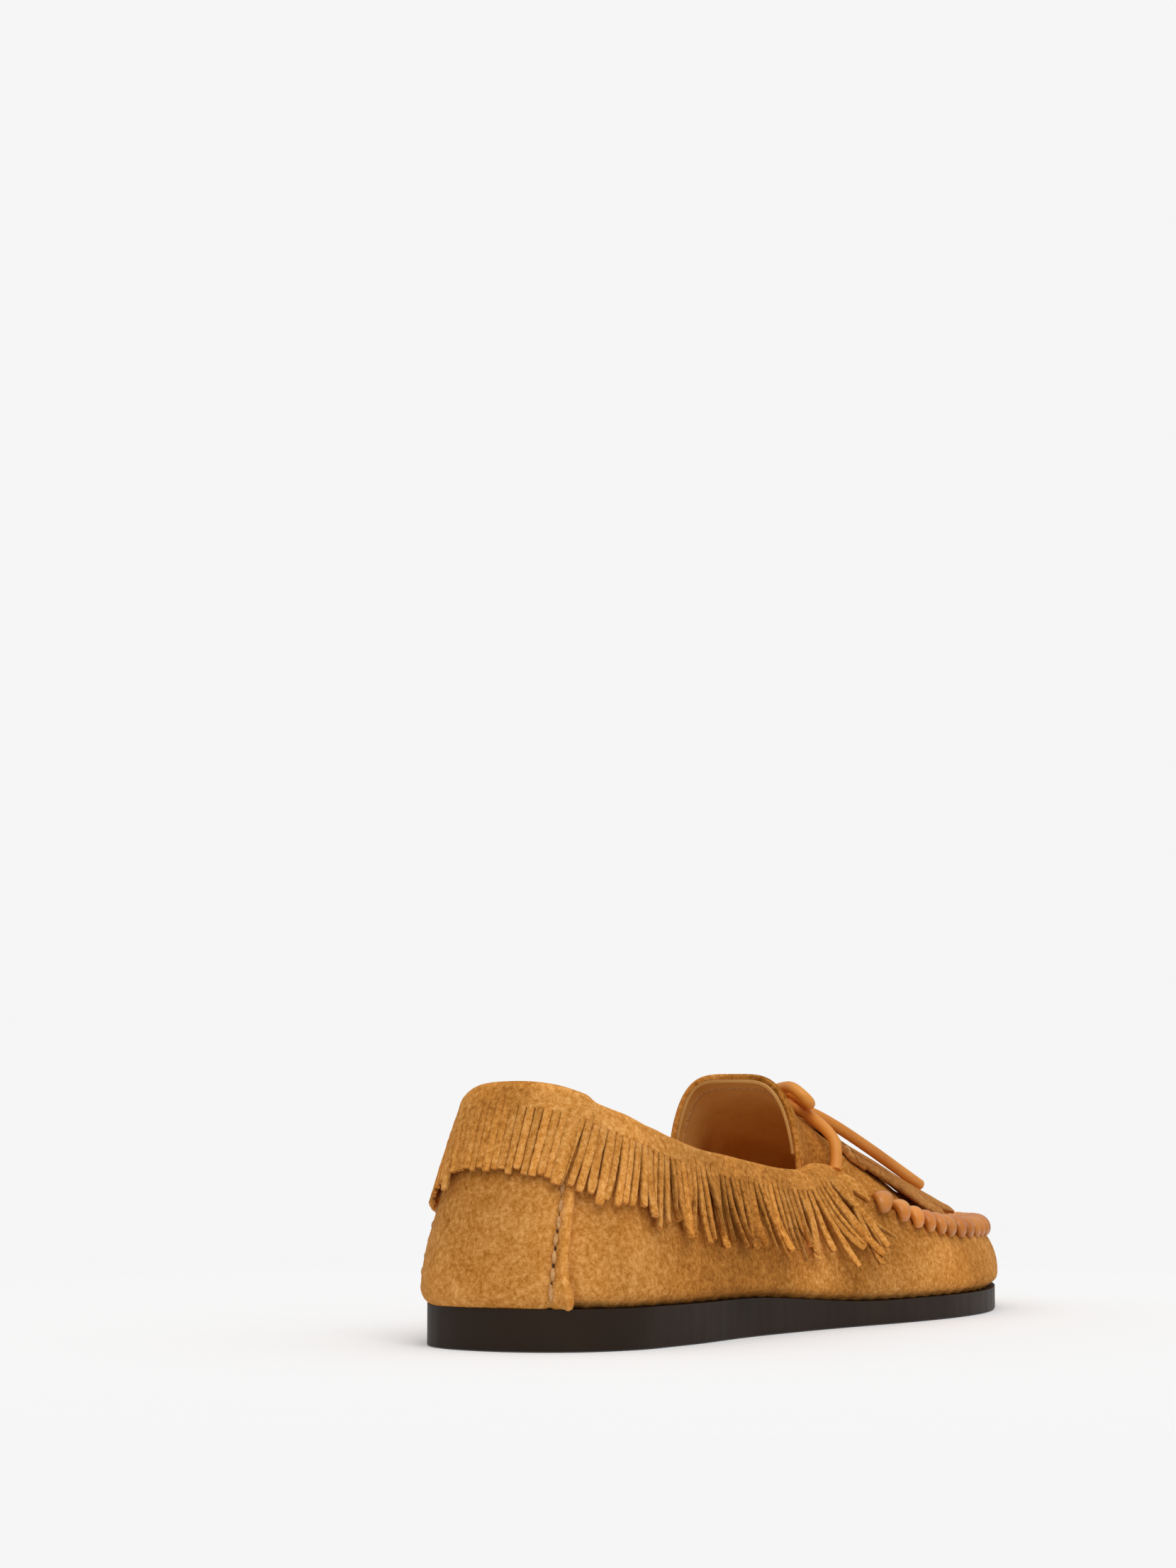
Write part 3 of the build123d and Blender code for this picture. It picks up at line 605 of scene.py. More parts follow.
def suede(name, dark, middle, light, nap=1.0, toned=True):
    """Napped leather: broad brushed patches, a mottled nap and fine grain."""
    nodes = Nodes(name)
    patches = nodes.noise(26, 3, 0.6, distortion=0.6)
    nap_noise = nodes.noise(2.0, 6, 0.72, distortion=0.3)
    grain = nodes.noise(0.62, 3, 0.8)
    blend = nodes.maths("MULTIPLY_ADD", patches, 0.34, nodes.maths("MULTIPLY", nap_noise, 0.22))
    blend = nodes.maths("MULTIPLY_ADD", grain, 0.52, blend)
    colour = nodes.ramp(blend, [(0.40, dark), (0.54, middle), (0.68, light)])
    if toned:
        colour = nodes.toned(colour)
    nodes.link(colour, nodes.shader.inputs["Base Color"])
    nodes.value("Roughness", 0.94)
    nodes.value("Specular IOR Level", 0.12)
    nodes.value("Sheen Weight", 0.16)
    nodes.value("Sheen Roughness", 0.45)
    nodes.value("Sheen Tint", light)
    soft = nodes.bump(nap_noise, 0.5 * nap, 0.35)
    fine = nodes.bump(grain, 0.75 * nap, 0.32, soft)
    nodes.link(fine, nodes.shader.inputs["Normal"])
    return nodes.material


def smooth_leather(name, dark, light, rough, coat=0.0, pores=0.35, toned=True):
    """Grain leather: slightly uneven colour, small pores and faint creases."""
    nodes = Nodes(name)
    patches = nodes.noise(9, 4, 0.55, distortion=0.4)
    creases = nodes.noise(1.6, 4, 0.6, distortion=1.2)
    pits = nodes.cells(0.7)
    colour = nodes.ramp(patches, [(0.3, dark), (0.7, light)])
    if toned:
        colour = nodes.toned(colour)
    nodes.link(colour, nodes.shader.inputs["Base Color"])
    finish = nodes.maths("MULTIPLY_ADD", creases, 0.22, rough - 0.11)
    nodes.link(finish, nodes.shader.inputs["Roughness"])
    nodes.value("Specular IOR Level", 0.42)
    nodes.value("Coat Weight", coat)
    nodes.value("Coat Roughness", 0.35)
    soft = nodes.bump(creases, 0.35, 0.3)
    fine = nodes.bump(pits, pores, 0.09, soft)
    nodes.link(fine, nodes.shader.inputs["Normal"])
    return nodes.material


def moulded_sole(name):
    """Near-black brown moulded sole with faint vertical buffing marks and dust."""
    nodes = Nodes(name)
    streaks = nodes.noise(2.0, 4, 0.6, stretch=(1.0, 1.0, 0.12))
    clouds = nodes.noise(22, 3, 0.5)
    grain = nodes.noise(0.5, 2, 0.6)
    colour = nodes.ramp(clouds, [(0.3, tint(34, 23, 15)), (0.72, tint(47, 34, 24))])
    nodes.link(colour, nodes.shader.inputs["Base Color"])
    finish = nodes.maths("MULTIPLY_ADD", streaks, 0.3, 0.36)
    nodes.link(finish, nodes.shader.inputs["Roughness"])
    nodes.value("Specular IOR Level", 0.15)
    soft = nodes.bump(streaks, 0.3, 0.12)
    fine = nodes.bump(grain, 0.25, 0.06, soft)
    nodes.link(fine, nodes.shader.inputs["Normal"])
    return nodes.material


def fibrous(name, dark, light, size, rough, metal=0.0):
    """Board, foam, thread or metal seen inside the shoe: speckled colour and fine relief."""
    nodes = Nodes(name)
    speckle = nodes.noise(size, 5, 0.7)
    colour = nodes.ramp(speckle, [(0.35, dark), (0.65, light)])
    nodes.link(colour, nodes.shader.inputs["Base Color"])
    nodes.value("Roughness", rough)
    nodes.value("Metallic", metal)
    relief = nodes.bump(speckle, 0.5, 0.15)
    nodes.link(relief, nodes.shader.inputs["Normal"])
    return nodes.material


SUEDE_LOOK = suede("tan_suede", tint(144, 84, 20), tint(196, 128, 52), tint(234, 170, 96))
# The fringe suede is a brighter copy of the tan suede: painted light on the collar band and fringe.
FRINGE_LIT_LOOK = suede("fringe_suede_lit", tint(152, 90, 26), tint(208, 138, 60), tint(244, 182, 106), nap=1.15)
# The kiltie suede is a darker copy of the tan suede: painted shade for the kiltie.
KILTIE_SHADED_LOOK = suede("kiltie_suede_shaded", tint(122, 72, 26), tint(176, 112, 50), tint(210, 148, 82), nap=1.1)
LINING_LOOK = smooth_leather("lining_leather", tint(216, 150, 70), tint(236, 178, 98), 0.66, pores=0.2)
THONG_LOOK = smooth_leather("thong_leather", tint(214, 128, 36), tint(240, 160, 64), 0.5, coat=0.08)
WHIP_LOOK = smooth_leather("whip_leather", tint(206, 116, 32), tint(240, 158, 66), 0.34, coat=0.2)
THREAD_LOOK = fibrous("seam_thread", tint(176, 122, 66), tint(222, 170, 108), 0.5, 0.7)
SOLE_LOOK = moulded_sole("dark_sole")
BOARD_LOOK = fibrous("fibre_board", tint(150, 128, 98), tint(190, 168, 134), 1.2, 0.85)
FOAM_LOOK = fibrous("pad_foam", tint(206, 190, 160), tint(232, 220, 196), 0.8, 0.95)
STEEL_LOOK = fibrous("spring_steel", tint(120, 122, 126), tint(170, 172, 176), 2.0, 0.35, 1.0)
# Dark brown stands for the painted shade inside the heel seam's stitch holes.
HOLE_SHADE_LOOK = fibrous("stitch_hole_shade", tint(56, 30, 12), tint(78, 44, 18), 0.5, 0.95)


# ---- Upper ----

def seam_phase(place):
    """How far a place lies through the gap between two whip stitches, as an angle."""
    turns = round((SEAM_TO - SEAM_FROM) / WHIP_PITCH)
    return (np.asarray(place, float) % AROUND - SEAM_FROM) / (SEAM_TO - SEAM_FROM) * turns * 2 * math.pi


def along_seam(place):
    """1 along the sewn part of the top edge, fading to 0 beyond its ends."""
    place = np.asarray(place, float) % AROUND
    return ease((place - SEAM_FROM + 8) / 8) * ease((SEAM_TO + 8 - place) / 8)


def make_wrap():
    first = SEAM_PLACE - WRAP_UNDER_PANEL
    last = AROUND - SEAM_PLACE - INNER_SEAM_EXTRA + WRAP_UNDER_PANEL
    places = np.linspace(first, last, 760)[:, None]
    ups = np.linspace(0, 1, 46)[None, :]**1.15
    face = wall_face(places, ups)
    outward = wall_frame(places, ups)[0]
    below_edge = (1 - ups) * wall_height(places)
    pucker = 0.42 * np.cos(seam_phase(places)) * np.exp(-below_edge / 3.6)
    wander = seam_phase(places) + 0.9 * wobble(face, 30, 5)
    long_crease = 0.24 * np.cos(wander) * np.exp(-((below_edge - 6) / 6)**2)
    toe = ease((face[..., 0] - 60) / 40)
    swell = 0.16 * wobble(face, 17, 11) + 0.09 * wobble(face, 6, 12)
    near_sole = np.exp(-ups * wall_height(places) / 1.6)
    creep = 0.22 * np.cos(places * 0.9 + 2 * wobble(face, 22, 13)) * near_sole
    out = -along_seam(places) * (pucker + toe * long_crease) + swell * ease(ups * 8) + creep
    tone = 0.5 + 0.05 * wobble(face, 34, 14) + 0.03 * wobble(face, 10, 15)
    # Painted shade: darker just under the whip-stitched top edge and in the tuck at the foot of the wall by
    # the sole.
    tone = tone - 0.07 * along_seam(places) * np.exp(-below_edge / 2.0) - 0.10 * near_sole
    outer = face + out[..., None] * outward
    inner = face - SUEDE * outward
    return shell(outer, inner, tone)


def make_panel():
    share = np.linspace(0, 1, 121)[:, None]
    ups = PANEL_FROM + (1 - PANEL_FROM) * np.linspace(0, 1, 56)[None, :]**1.15
    edge_in, edge_out = panel_edge(ups, -1), panel_edge(ups, 1)
    places = (1 - share) * edge_in + share * edge_out
    face = wall_face(places, ups)
    outward = wall_frame(places, ups)[0]
    from_edge = np.minimum(places - edge_in, edge_out - places)
    from_seam = np.minimum(np.abs(places - seam_place(ups, 1)), np.abs(places - seam_place(ups, -1)))
    ridge = 0.55 * np.exp(-((from_edge - 1.1) / 0.9)**2)
    groove = -0.4 * np.exp(-(from_seam / 0.7)**2)
    swell = 0.16 * wobble(face, 14, 21) + 0.07 * wobble(face, 5, 22)
    out = SUEDE + 0.1 + ridge + groove + swell
    tone = 0.5 + 0.05 * wobble(face, 24, 23)
    # Painted shade: darker along the heel seams' grooves.
    tone = tone + 0.09 * np.exp(-((from_edge - 0.8) / 0.9)**2) - 0.10 * np.exp(-(from_seam / 0.8)**2)
    outer = face + out[..., None] * outward
    inner = face + 0.12 * outward
    return shell(outer, inner, tone, edge_tone=0.04)


def stitch(start, end, outward, wide, sink):
    """A thick stitch that dips into the leather at both ends."""
    share = np.linspace(0, 1, 11)[:, None]
    arch = np.sin(math.pi * share)**0.5
    path = start + (end - start) * share + outward * (arch - 1) * sink
    along = unit(np.gradient(path, axis=0))
    across = unit(np.cross(np.broadcast_to(outward, path.shape), along))
    normal = np.cross(along, across)
    width = wide * (0.45 + 0.55 * arch[:, 0])
    return bar(path, across, normal, width, 0.85 * width, 0.5, 10, 1.0)


def make_heel_stitches(side):
    draw = np.random.default_rng(31 if side > 0 else 32)
    low, high = 0.05, 0.86
    height = wall_height(0.0)
    count = int((high - low) * height / STITCH_PITCH)
    threads, holes = [], []
    for index in range(count):
        start = low + index * STITCH_PITCH / height
        end = start + 0.70 * STITCH_PITCH / height
        sway = draw.uniform(-0.22, 0.22, 2)
        out = SUEDE + 0.1 + 0.1 * THREAD
        ends = [wall(seam_place(up, side) + shift, up, out) for up, shift in zip((start, end), sway)]
        outward = wall_frame(seam_place(start, side), start)[0]
        threads.append(stitch(ends[0], ends[1], outward, THREAD, 0.75))
        # A dark mark just under the suede face at each hole: painted shade inside the stitch hole.
        up = end + 0.14 * STITCH_PITCH / height
        centre = wall(seam_place(up, side), up, SUEDE - 0.42)
        along = wall_frame(seam_place(up, side), up)[1]
        path = np.array([centre - 0.5 * along, centre, centre + 0.5 * along])
        across = np.tile(np.cross(outward, along), (3, 1))
        facing = np.tile(outward, (3, 1))
        holes.append(bar(path, across, facing, np.array([0.4, 0.85, 0.4]), 0.5, 0.5, 8, 1.0))
    return joined(threads), joined(holes)


# ---- Collar ----

WALL_TOP_THICK = SUEDE + LAYER_GAP + LINING


def flap_gap(place):
    """How far the fringed flap stands off the wall: over the heel panel it clears the panel's thickness."""
    over_panel = 1 - ease((past_panel(place) - 1.5) / 5)
    return LAYER_GAP + 0.1 + (SUEDE + 0.1) * over_panel


def fringe_drop(place):
    share = from_heel(place) / COLLAR_OUTER
    return FRINGE_DROP_HEEL + (FRINGE_DROP_FRONT - FRINGE_DROP_HEEL) * ease(share * 1.6)


def band_grid(places, skin):
    """Cross-sections of the folded band, from its inner edge over the fold to where the cuts begin."""
    outward, rise = wall_frame(places, np.ones_like(places))
    inner_face = -WALL_TOP_THICK - LAYER_GAP
    radius = (flap_gap(places) - inner_face) / 2
    top = wall(places, np.ones_like(places))
    centre = top + (inner_face + radius)[:, None] * outward + FOLD_RISE * rise
    height = wall_height(places)
    taper = ease((np.abs(places) - COLLAR_OUTER + FLAP_TAPER_LENGTH) / FLAP_TAPER_LENGTH)
    flap = INNER_FLAP - INNER_FLAP_TAPER * taper
    columns = []
    for share in np.linspace(1.0, 0.0, 7):
        columns.append(wall(places, 1 - share * flap / height, inner_face - skin + 0 * places))
    for angle in np.linspace(math.pi, 0.0, 14):
        reach = (radius + skin)[:, None]
        columns.append(centre + reach * (math.cos(angle) * outward + math.sin(angle) * rise))
    for share in np.linspace(0.0, 1.0, 9):
        columns.append(wall(places, 1 - share * BAND_DROP / height, flap_gap(places) + skin))
    return np.stack(columns, axis=1)


def make_band():
    places = np.linspace(COLLAR_INNER - BAND_WRAPS_ON, COLLAR_OUTER + BAND_WRAPS_ON, 430)
    outer, inner = band_grid(places, BAND), band_grid(places, 0.0)
    away = unit(outer - inner)
    rough = 0.22 * wobble(outer, 15, 41) + 0.10 * wobble(outer, 5, 42)
    outer = outer + away * rough[..., None]
    tone = 0.53 + 0.05 * wobble(outer, 22, 43) + 0.03 * wobble(outer, 8, 44)
    # Painted highlight: the top of the fold painted lighter.
    tone[:, 9:19] += 0.04
    return shell(outer, inner, tone)


def twisted(path, outward, angle):
    """A strap's two cross directions along a path, turned about it by an angle at each point."""
    along = unit(np.gradient(path, axis=0))
    across = unit(np.cross(outward, along))
    normal = np.cross(along, across)
    angle = angle[:, None]
    turned = across * np.cos(angle) + normal * np.sin(angle)
    facing = normal * np.cos(angle) - across * np.sin(angle)
    return turned, facing


def make_strip(root, lean, sweep, drop, wide, sway, twist, stand, curl, draw):
    """One cut strip of fringe, from under the fold down the wall to its tip."""
    share = np.linspace(0, 1, 20)
    top = ring(root)[4]
    wave = np.sin(share * math.pi * draw.uniform(0.8, 1.7))
    place = root + lean * share + sweep * share**1.35 + sway * wave * share
    z = top - STRIP_START - (drop - STRIP_START) * share
    up = up_at(place, z)
    belly = 0.5 * abs(draw.normal()) * share * (1 - share)
    out = flap_gap(place) + STRIP_THICK / 2 + 0.1 + stand * share**1.5 + belly + curl * share**5
    path = wall(place, up, out)
    outward, _ = wall_frame(place, up)
    turned, facing = twisted(path, outward, twist * share**1.6)
    width = wide * (1 + 0.05 * draw.normal(size=20)) * (1 - 0.04 * share)
    width[-1] *= draw.uniform(0.7, 0.95)
    thick = STRIP_THICK * (1 + 0.06 * draw.normal(size=20))
    tone = 0.515 + 0.04 * draw.normal() + 0.05 * share
    # Painted shade: darker along both sides of the strip, in the gaps between strips.
    return bar(path, turned, facing, width, thick, tone, 12, 0.5, -0.26)


def strip_for(side, distance, reach, draw):
    """A strip looser the further it is from the heel; the one beside the heel seam is wide and long."""
    loose = float(ease(distance / reach * 1.3))
    front = float(ease((distance / reach - 0.84) / 0.16))
    clump = 2.2 * math.sin(distance * 0.42 + side) + 1.6 * math.sin(distance * 0.93 + 2 * side)
    sweep = side * (loose * (clump + 1.6 * draw.normal()) + 13.0 * front)
    drop = fringe_drop(distance) + draw.normal() * (0.5 + 1.2 * loose) + 0.8 - 1.5 * front
    slope = float(ring(side * distance + 2.0)[4] - ring(side * distance - 2.0)[4]) / 4.0
    lean = STRIP_LEAN * slope * drop
    wide = STRIP_WIDE * (1 + 0.08 * draw.normal()) - 0.15 * loose
    sway = loose * 1.3 * draw.normal()
    twist = (0.10 + 0.55 * loose) * draw.normal()
    stand = 0.4 + 2.4 * loose * draw.random() + 0.5 * front
    curl = (0.3 + 2.2 * loose) * draw.random()
    if abs(distance - SEAM_PLACE - SEAM_SPREAD - 1.0) < STRIP_PITCH / 2:
        wide, drop, twist, stand = wide * 1.4, drop + 2.4, 0.05, 1.1
    return make_strip(side * distance, lean, sweep, drop, wide, sway, twist, stand, curl, draw)


def make_fringe():
    """All the strips, tidy at the heel and looser and more tangled towards the collar's front ends."""
    draw = np.random.default_rng(7)
    strips = []
    for side, reach in ((1, COLLAR_OUTER), (-1, -COLLAR_INNER)):
        first = 0.0 if side > 0 else STRIP_PITCH
        for distance in np.arange(first, reach + 0.5, STRIP_PITCH):
            strips.append(strip_for(side, distance, reach, draw))
    return strips


# ---- Apron, tongue, lining and whip stitches ----

def make_apron():
    u = np.linspace(0, 1, 230)[:, None]**1.05
    w = ((1 - np.cos(np.linspace(0, math.pi, 130))) / 2)[None, :]
    face = apron_face(u, w)
    outward = apron_outward(u, w)
    seam = np.minimum(np.minimum(w, 1 - w) * 66, (1 - u) * 110) + 12 * (1 - ease((face[..., 0] - 14) / 8))
    around = np.arctan2(face[..., 1], face[..., 0] - 40) * 38
    pucker = 0.32 * np.cos(around * 2 * math.pi / WHIP_PITCH) * np.exp(-seam / 4.0)
    swell = 0.22 * wobble(face, 19, 51) + 0.08 * wobble(face, 6, 52)
    away_from_mouth = ease((face[..., 0] - MOUTH_X) / 8)
    outer = face + ((pucker + swell) * away_from_mouth + 0.002)[..., None] * outward
    inner = face - SUEDE * outward
    # Painted shade: darker close to the whip-stitched seam.
    tone = 0.5 + 0.05 * wobble(face, 26, 53) + 0.03 * wobble(face, 9, 54) - 0.05 * np.exp(-seam / 3)
    return shell(outer, inner, tone, edge_tone=0.06)


def apron_layer(depth, thick, low_w, reach):
    u = np.linspace(0, reach, 150)[:, None]
    w = (low_w + (1 - 2 * low_w) * (1 - np.cos(np.linspace(0, math.pi, 110))) / 2)[None, :]
    outer = apron(u, w, depth + 0 * (u + w))
    inner = apron(u, w, depth - thick + 0 * (u + w))
    rough = 0.1 * wobble(inner, 16, 55)
    inner = inner + (rough * ease(u * 12))[..., None] * unit(inner - outer)
    tone = 0.5 + 0.03 * wobble(inner, 20, 56)
    return shell(outer, inner, tone, edge_tone=-0.14)


def lining_out(place, up):
    """How far in the lining's hidden face lies: behind the counter at the heel, else behind the suede."""
    counter = (1 - ease((from_heel(place) - 74) / 16)) * (1 - ease((up - 0.66) / 0.16))
    return -SUEDE - LAYER_GAP - (COUNTER + LAYER_GAP) * counter


def wall_layer(place_from, place_to, rows, ups, out, thick):
    places = np.linspace(place_from, place_to, rows)[:, None] + 0 * ups[None, :]
    ups = ups[None, :] + 0 * places
    stand = out(places, ups) if callable(out) else out + 0 * places
    outer = wall(places, ups, stand)
    inner = wall(places, ups, stand - thick)
    inner = inner + 0.08 * wobble(inner, 14, 61)[..., None] * unit(inner - outer)
    return shell(outer, inner, 0.5 + 0.03 * wobble(outer, 18, 62))


def make_whip_turn(place, draw):
    """One fat turn of thong over the seam, leaning a little along it."""
    outward, _ = wall_frame(place, 1.0)
    across = unit(np.array([outward[0], outward[1], 0.0]))
    centre = wall(place, 1.0) - 0.6 * across + np.array([0.0, 0.0, -0.3])
    along = unit(np.cross(across, (0, 0, 1)))
    angle = np.radians(np.linspace(-24, 204, 17))
    swell = np.sin(np.linspace(0.03, 0.97, 17) * math.pi)**0.45
    lean = draw.uniform(1.6, 2.3) * np.cos(angle)
    reach = WHIP_RISE + draw.uniform(-0.12, 0.18)
    path = centre + reach * (np.cos(angle)[:, None] * across + np.sin(angle)[:, None] * np.array([0, 0, 1.0]))
    path = path + lean[:, None] * along
    tangent = unit(np.gradient(path, axis=0))
    outside = unit(path - centre - ((path - centre) @ along)[:, None] * along)
    side = unit(np.cross(tangent, outside))
    facing = np.cross(side, tangent)
    width = WHIP_WIDE * (0.42 + 0.58 * swell) * draw.uniform(0.93, 1.06)
    thick = WHIP_THICK * (0.35 + 0.65 * swell)
    # Painted shade: each turn darker towards its ends where it dips into the seam, and along its two sides.
    tone = 0.52 + 0.035 * draw.normal() - 0.2 * (1 - swell)
    return bar(path, side, facing, width, thick, tone, 18, 0.95, -0.1)


# ---- Kiltie ----

def kiltie_place(t, c):
    """Where on the apron a point of the kiltie lies: t runs from its sewn edge to the tips, c across."""
    angle = c * math.pi / 2
    reach = KILTIE_SIDE_REACH + (KILTIE_TOE_REACH - KILTIE_SIDE_REACH) * np.maximum(np.cos(angle), 0.0)**0.75
    u = KILTIE_START + t * (reach - KILTIE_START)
    root, tip = KILTIE_ROOT_SHARE * c, KILTIE_TIP_SHARE * np.sin(angle)
    return u, 0.5 + 0.5 * (root + (tip - root) * t)


def kiltie_point(t, c, out):
    t, c = np.broadcast_arrays(np.asarray(t, float), np.asarray(c, float))
    u, w = kiltie_place(t, c)
    lift = KILTIE_LIFT_ROOT + (KILTIE_LIFT - KILTIE_LIFT_ROOT) * ease(t / 0.4)
    return apron(u, w, lift + out)


def make_leaf(index, draw):
    """One long leaf, a little lifted and twisted, narrowing to its tip."""
    c = -1 + (2 * index + 1) / KILTIE_LEAVES
    t = np.linspace(0.06, 1.0, 26)
    sway = 0.05 * draw.normal() * ease((t - 0.2) / 0.8)
    middle = math.cos(c * math.pi / 2)
    lift = (0.1 + 0.7 * draw.random() + 2.0 * middle * draw.random()) * np.sin(math.pi * t)**1.5
    lift = lift + 0.8 * draw.random() * t**3
    path = kiltie_point(t, c + sway, KILTIE_THICK / 2 + 0.15 + lift + 0.5 * (index % 2) * ease(t / 0.3))
    u, w = kiltie_place(t, c + sway)
    outward = apron_outward(u, w)
    turned, facing = twisted(path, outward, draw.normal() * 0.34 * ease((t - 0.1) / 0.9))
    step = 1 / KILTIE_LEAVES
    room = np.linalg.norm(kiltie_point(t, c + step, 0.0) - kiltie_point(t, c - step, 0.0), axis=1) + 0.4
    width = LEAF_WIDTH + (LEAF_TIP_WIDTH - LEAF_WIDTH) * ease((t - 0.8) / 0.2)
    width = np.minimum(room, width) * (1 + 0.03 * draw.normal(size=26))
    tone = 0.5 + 0.09 * draw.normal() + 0.03 * t
    # Painted shade: darker along both sides of the leaf, in the gaps between leaves.
    return bar(path, turned, facing, width, KILTIE_THICK, tone, 12, 0.5, -0.14)


def make_kiltie():
    draw = np.random.default_rng(71)
    t, c = np.linspace(0, 0.14, 10)[:, None], np.linspace(-1, 1, 80)[None, :]
    root = shell(kiltie_point(t, c, KILTIE_THICK), kiltie_point(t, c, 0.0), 0.52)
    return joined([root] + [make_leaf(index, draw) for index in range(KILTIE_LEAVES)])


def make_kiltie_stitches():
    threads = []
    for c in np.linspace(-0.9, 0.82, 13):
        ends = [kiltie_point(0.035, c + step, KILTIE_THICK + 0.2) for step in (0.0, 0.09)]
        outward = apron_outward(*kiltie_place(0.035, c))
        threads.append(stitch(ends[0], ends[1], outward, 0.85, 0.5))
    return joined(threads)


# ---- Bow ----

def make_knot():
    """Two turns of thong round a core, with short stubs towards the loops and the lace ends."""
    angle = np.linspace(0, 2 * math.pi, 33)[:-1]
    parts = []
    for offset, lean, size in ((-1.75, 0.5, 1.0), (1.75, -0.4, 0.95)):
        x = 2.9 * size * np.cos(angle)
        z = 2.3 * size * np.sin(angle)
        y = offset + lean * np.sin(angle)
        path = KNOT + np.stack([x, y, z], axis=1)
        outside = unit(np.stack([x, 0 * x, z], axis=1))
        tangent = unit(np.roll(path, -1, axis=0) - np.roll(path, 1, axis=0))
        side = unit(np.cross(outside, tangent))
        parts.append(loop_bar(path, side, np.cross(tangent, side), 3.5, 2.2, 0.5, 14))
    share = np.linspace(-1, 1, 13)
    round_off = np.sqrt(np.maximum(0.05, 1 - (share * 0.97)**2))
    path = KNOT + np.stack([0 * share, 3.4 * share, 0 * share], axis=1)
    x_axis, z_axis = np.tile((1.0, 0, 0), (13, 1)), np.tile((0, 0, 1.0), (13, 1))
    # The core is painted darker than the turns: painted shade inside the knot.
    parts.append(bar(path, x_axis, z_axis, 6.2 * round_off, 5.2 * round_off, 0.42, 14, 1.0))
    for mirror in (1, -1):
        for tip in ((10.2, -5.1, 62.3), (14.6, -5.2, 62.2), (17.9, -5.0, 58.7)):
            tip = np.array(tip) * np.array([1, mirror, 1])
            root = KNOT + np.array([0.5 * (tip[0] - KNOT[0]), -1.4 * mirror, 0.6])
            share = np.linspace(0, 1, 8)[:, None]
            path = root + (tip - root) * share + np.array([0, 0, 0.5]) * np.sin(share * math.pi)
            along = unit(np.gradient(path, axis=0))
            side = unit(np.cross(along, (0, 0, 1)))
            parts.append(bar(path, side, np.cross(side, along), THONG * 0.97, THONG * 0.97, 0.5, 14, 1.0))
    return joined(parts)


def add_lace(name, route, side, body, node):
    """A length of round thong along one smooth curve, attached to a body of the frame."""
    points = [((np.array(point) * np.array([1, -side, 1])) + ROW_SHIFT) / 1000 for point in route]
    curve = bpy.data.curves.new(name, "CURVE")
    curve.dimensions = "3D"
    curve.bevel_depth = THONG / 2000
    curve.bevel_resolution = 6
    curve.resolution_u = 12
    curve.use_fill_caps = True
    spline = curve.splines.new("NURBS")
    spline.points.add(len(points) - 1)
    for slot, point in zip(spline.points, points):
        slot.co = (*point, 1.0)
    spline.order_u = 3
    spline.use_endpoint_u = True
    curve.materials.append(THONG_FREE)
    piece = bpy.data.objects.new(name, curve)
    bpy.context.scene.collection.objects.link(piece)
    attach(piece, body)
    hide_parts(node)
    return piece


# ---- Inside the shoe ----

def plate_halves(inset):
    """The sole's outline moved in, as its outer and inner sides' widths along the shoe."""
    places = np.linspace(0, AROUND, 721)[:-1]
    edge = ring(places)[:, :2] - inset * plan_outward(places)
    low, high = int(np.argmin(edge[:, 0])), int(np.argmax(edge[:, 0]))
    rolled = np.roll(edge, -low, axis=0)
    high = (high - low) % len(edge)
    outer, inner = rolled[:high + 1], np.vstack([rolled[high:], rolled[:1]])[::-1]
    return outer, inner


def plate(inset, low, high, x_to=None, rows=120, cols=30, tone=0.5):
    """A flat layer inside the shoe, between two heights given as functions of x."""
    outer, inner = plate_halves(inset)
    end = outer[-1, 0] if x_to is None else x_to
    start = outer[0, 0]
    last, half_turns = (0.97, 1) if x_to is None else (1, 0.5)
    share = (1 - np.cos(np.linspace(0.03, last, rows) * math.pi * half_turns)) / 2
    share = (share - share[0]) / (share[-1] - share[0]) * 0.996 + 0.002
    x = start + (end - start) * share
    y_low, y_high = np.interp(x, outer[:, 0], outer[:, 1]), np.interp(x, inner[:, 0], inner[:, 1])
    v = np.linspace(0, 1, cols)[None, :]
    y = y_low[:, None] + (y_high - y_low)[:, None] * v
    x = np.broadcast_to(x[:, None], y.shape)
    top = np.stack([x, y, high(x)], axis=-1)
    bottom = np.stack([x, y, low(x)], axis=-1)
    top[..., 2] += 0.08 * wobble(top, 14, 81)
    return shell(top, bottom, tone)


def pad_top(x):
    """How far the heel pad stands above the insole board; it thins out to nothing in front."""
    return PAD_THICK * ease((PAD_END - x) / PAD_TAPER)


def sock_low(x):
    resting = sole_top(x) + INSOLE + 0.1 + np.where(x < PAD_END, pad_top(x), 0.0)
    return resting + 0.35 * ease((PAD_END + 12 - x) / 12)


def pad_low(x):
    return sole_top(x) + INSOLE + 0.05


# ---- Assembly ----

THONG_FREE = smooth_leather("lace_leather", tint(214, 128, 36), tint(240, 160, 64), 0.5, coat=0.08,
                            toned=False)

add_mesh("vamp_wrap_suede", make_wrap(), SUEDE_LOOK, "root", ["vamp_wrap"])
add_mesh("heel_panel_suede", make_panel(), SUEDE_LOOK, "root", ["heel_panel"])
for side, label in ((1, "outer"), (-1, "inner")):
    threads, holes = make_heel_stitches(side)
    add_mesh(f"heel_seam_thread_{label}", threads, THREAD_LOOK, "root",
             [f"heel_seam_stitching_{label}"])
    add_mesh(f"heel_seam_hole_shade_{label}", holes, HOLE_SHADE_LOOK, "root")

add_mesh("collar_band_and_fringe", joined([make_band()] + make_fringe()), FRINGE_LIT_LOOK, "root",
         ["collar_fringe"])

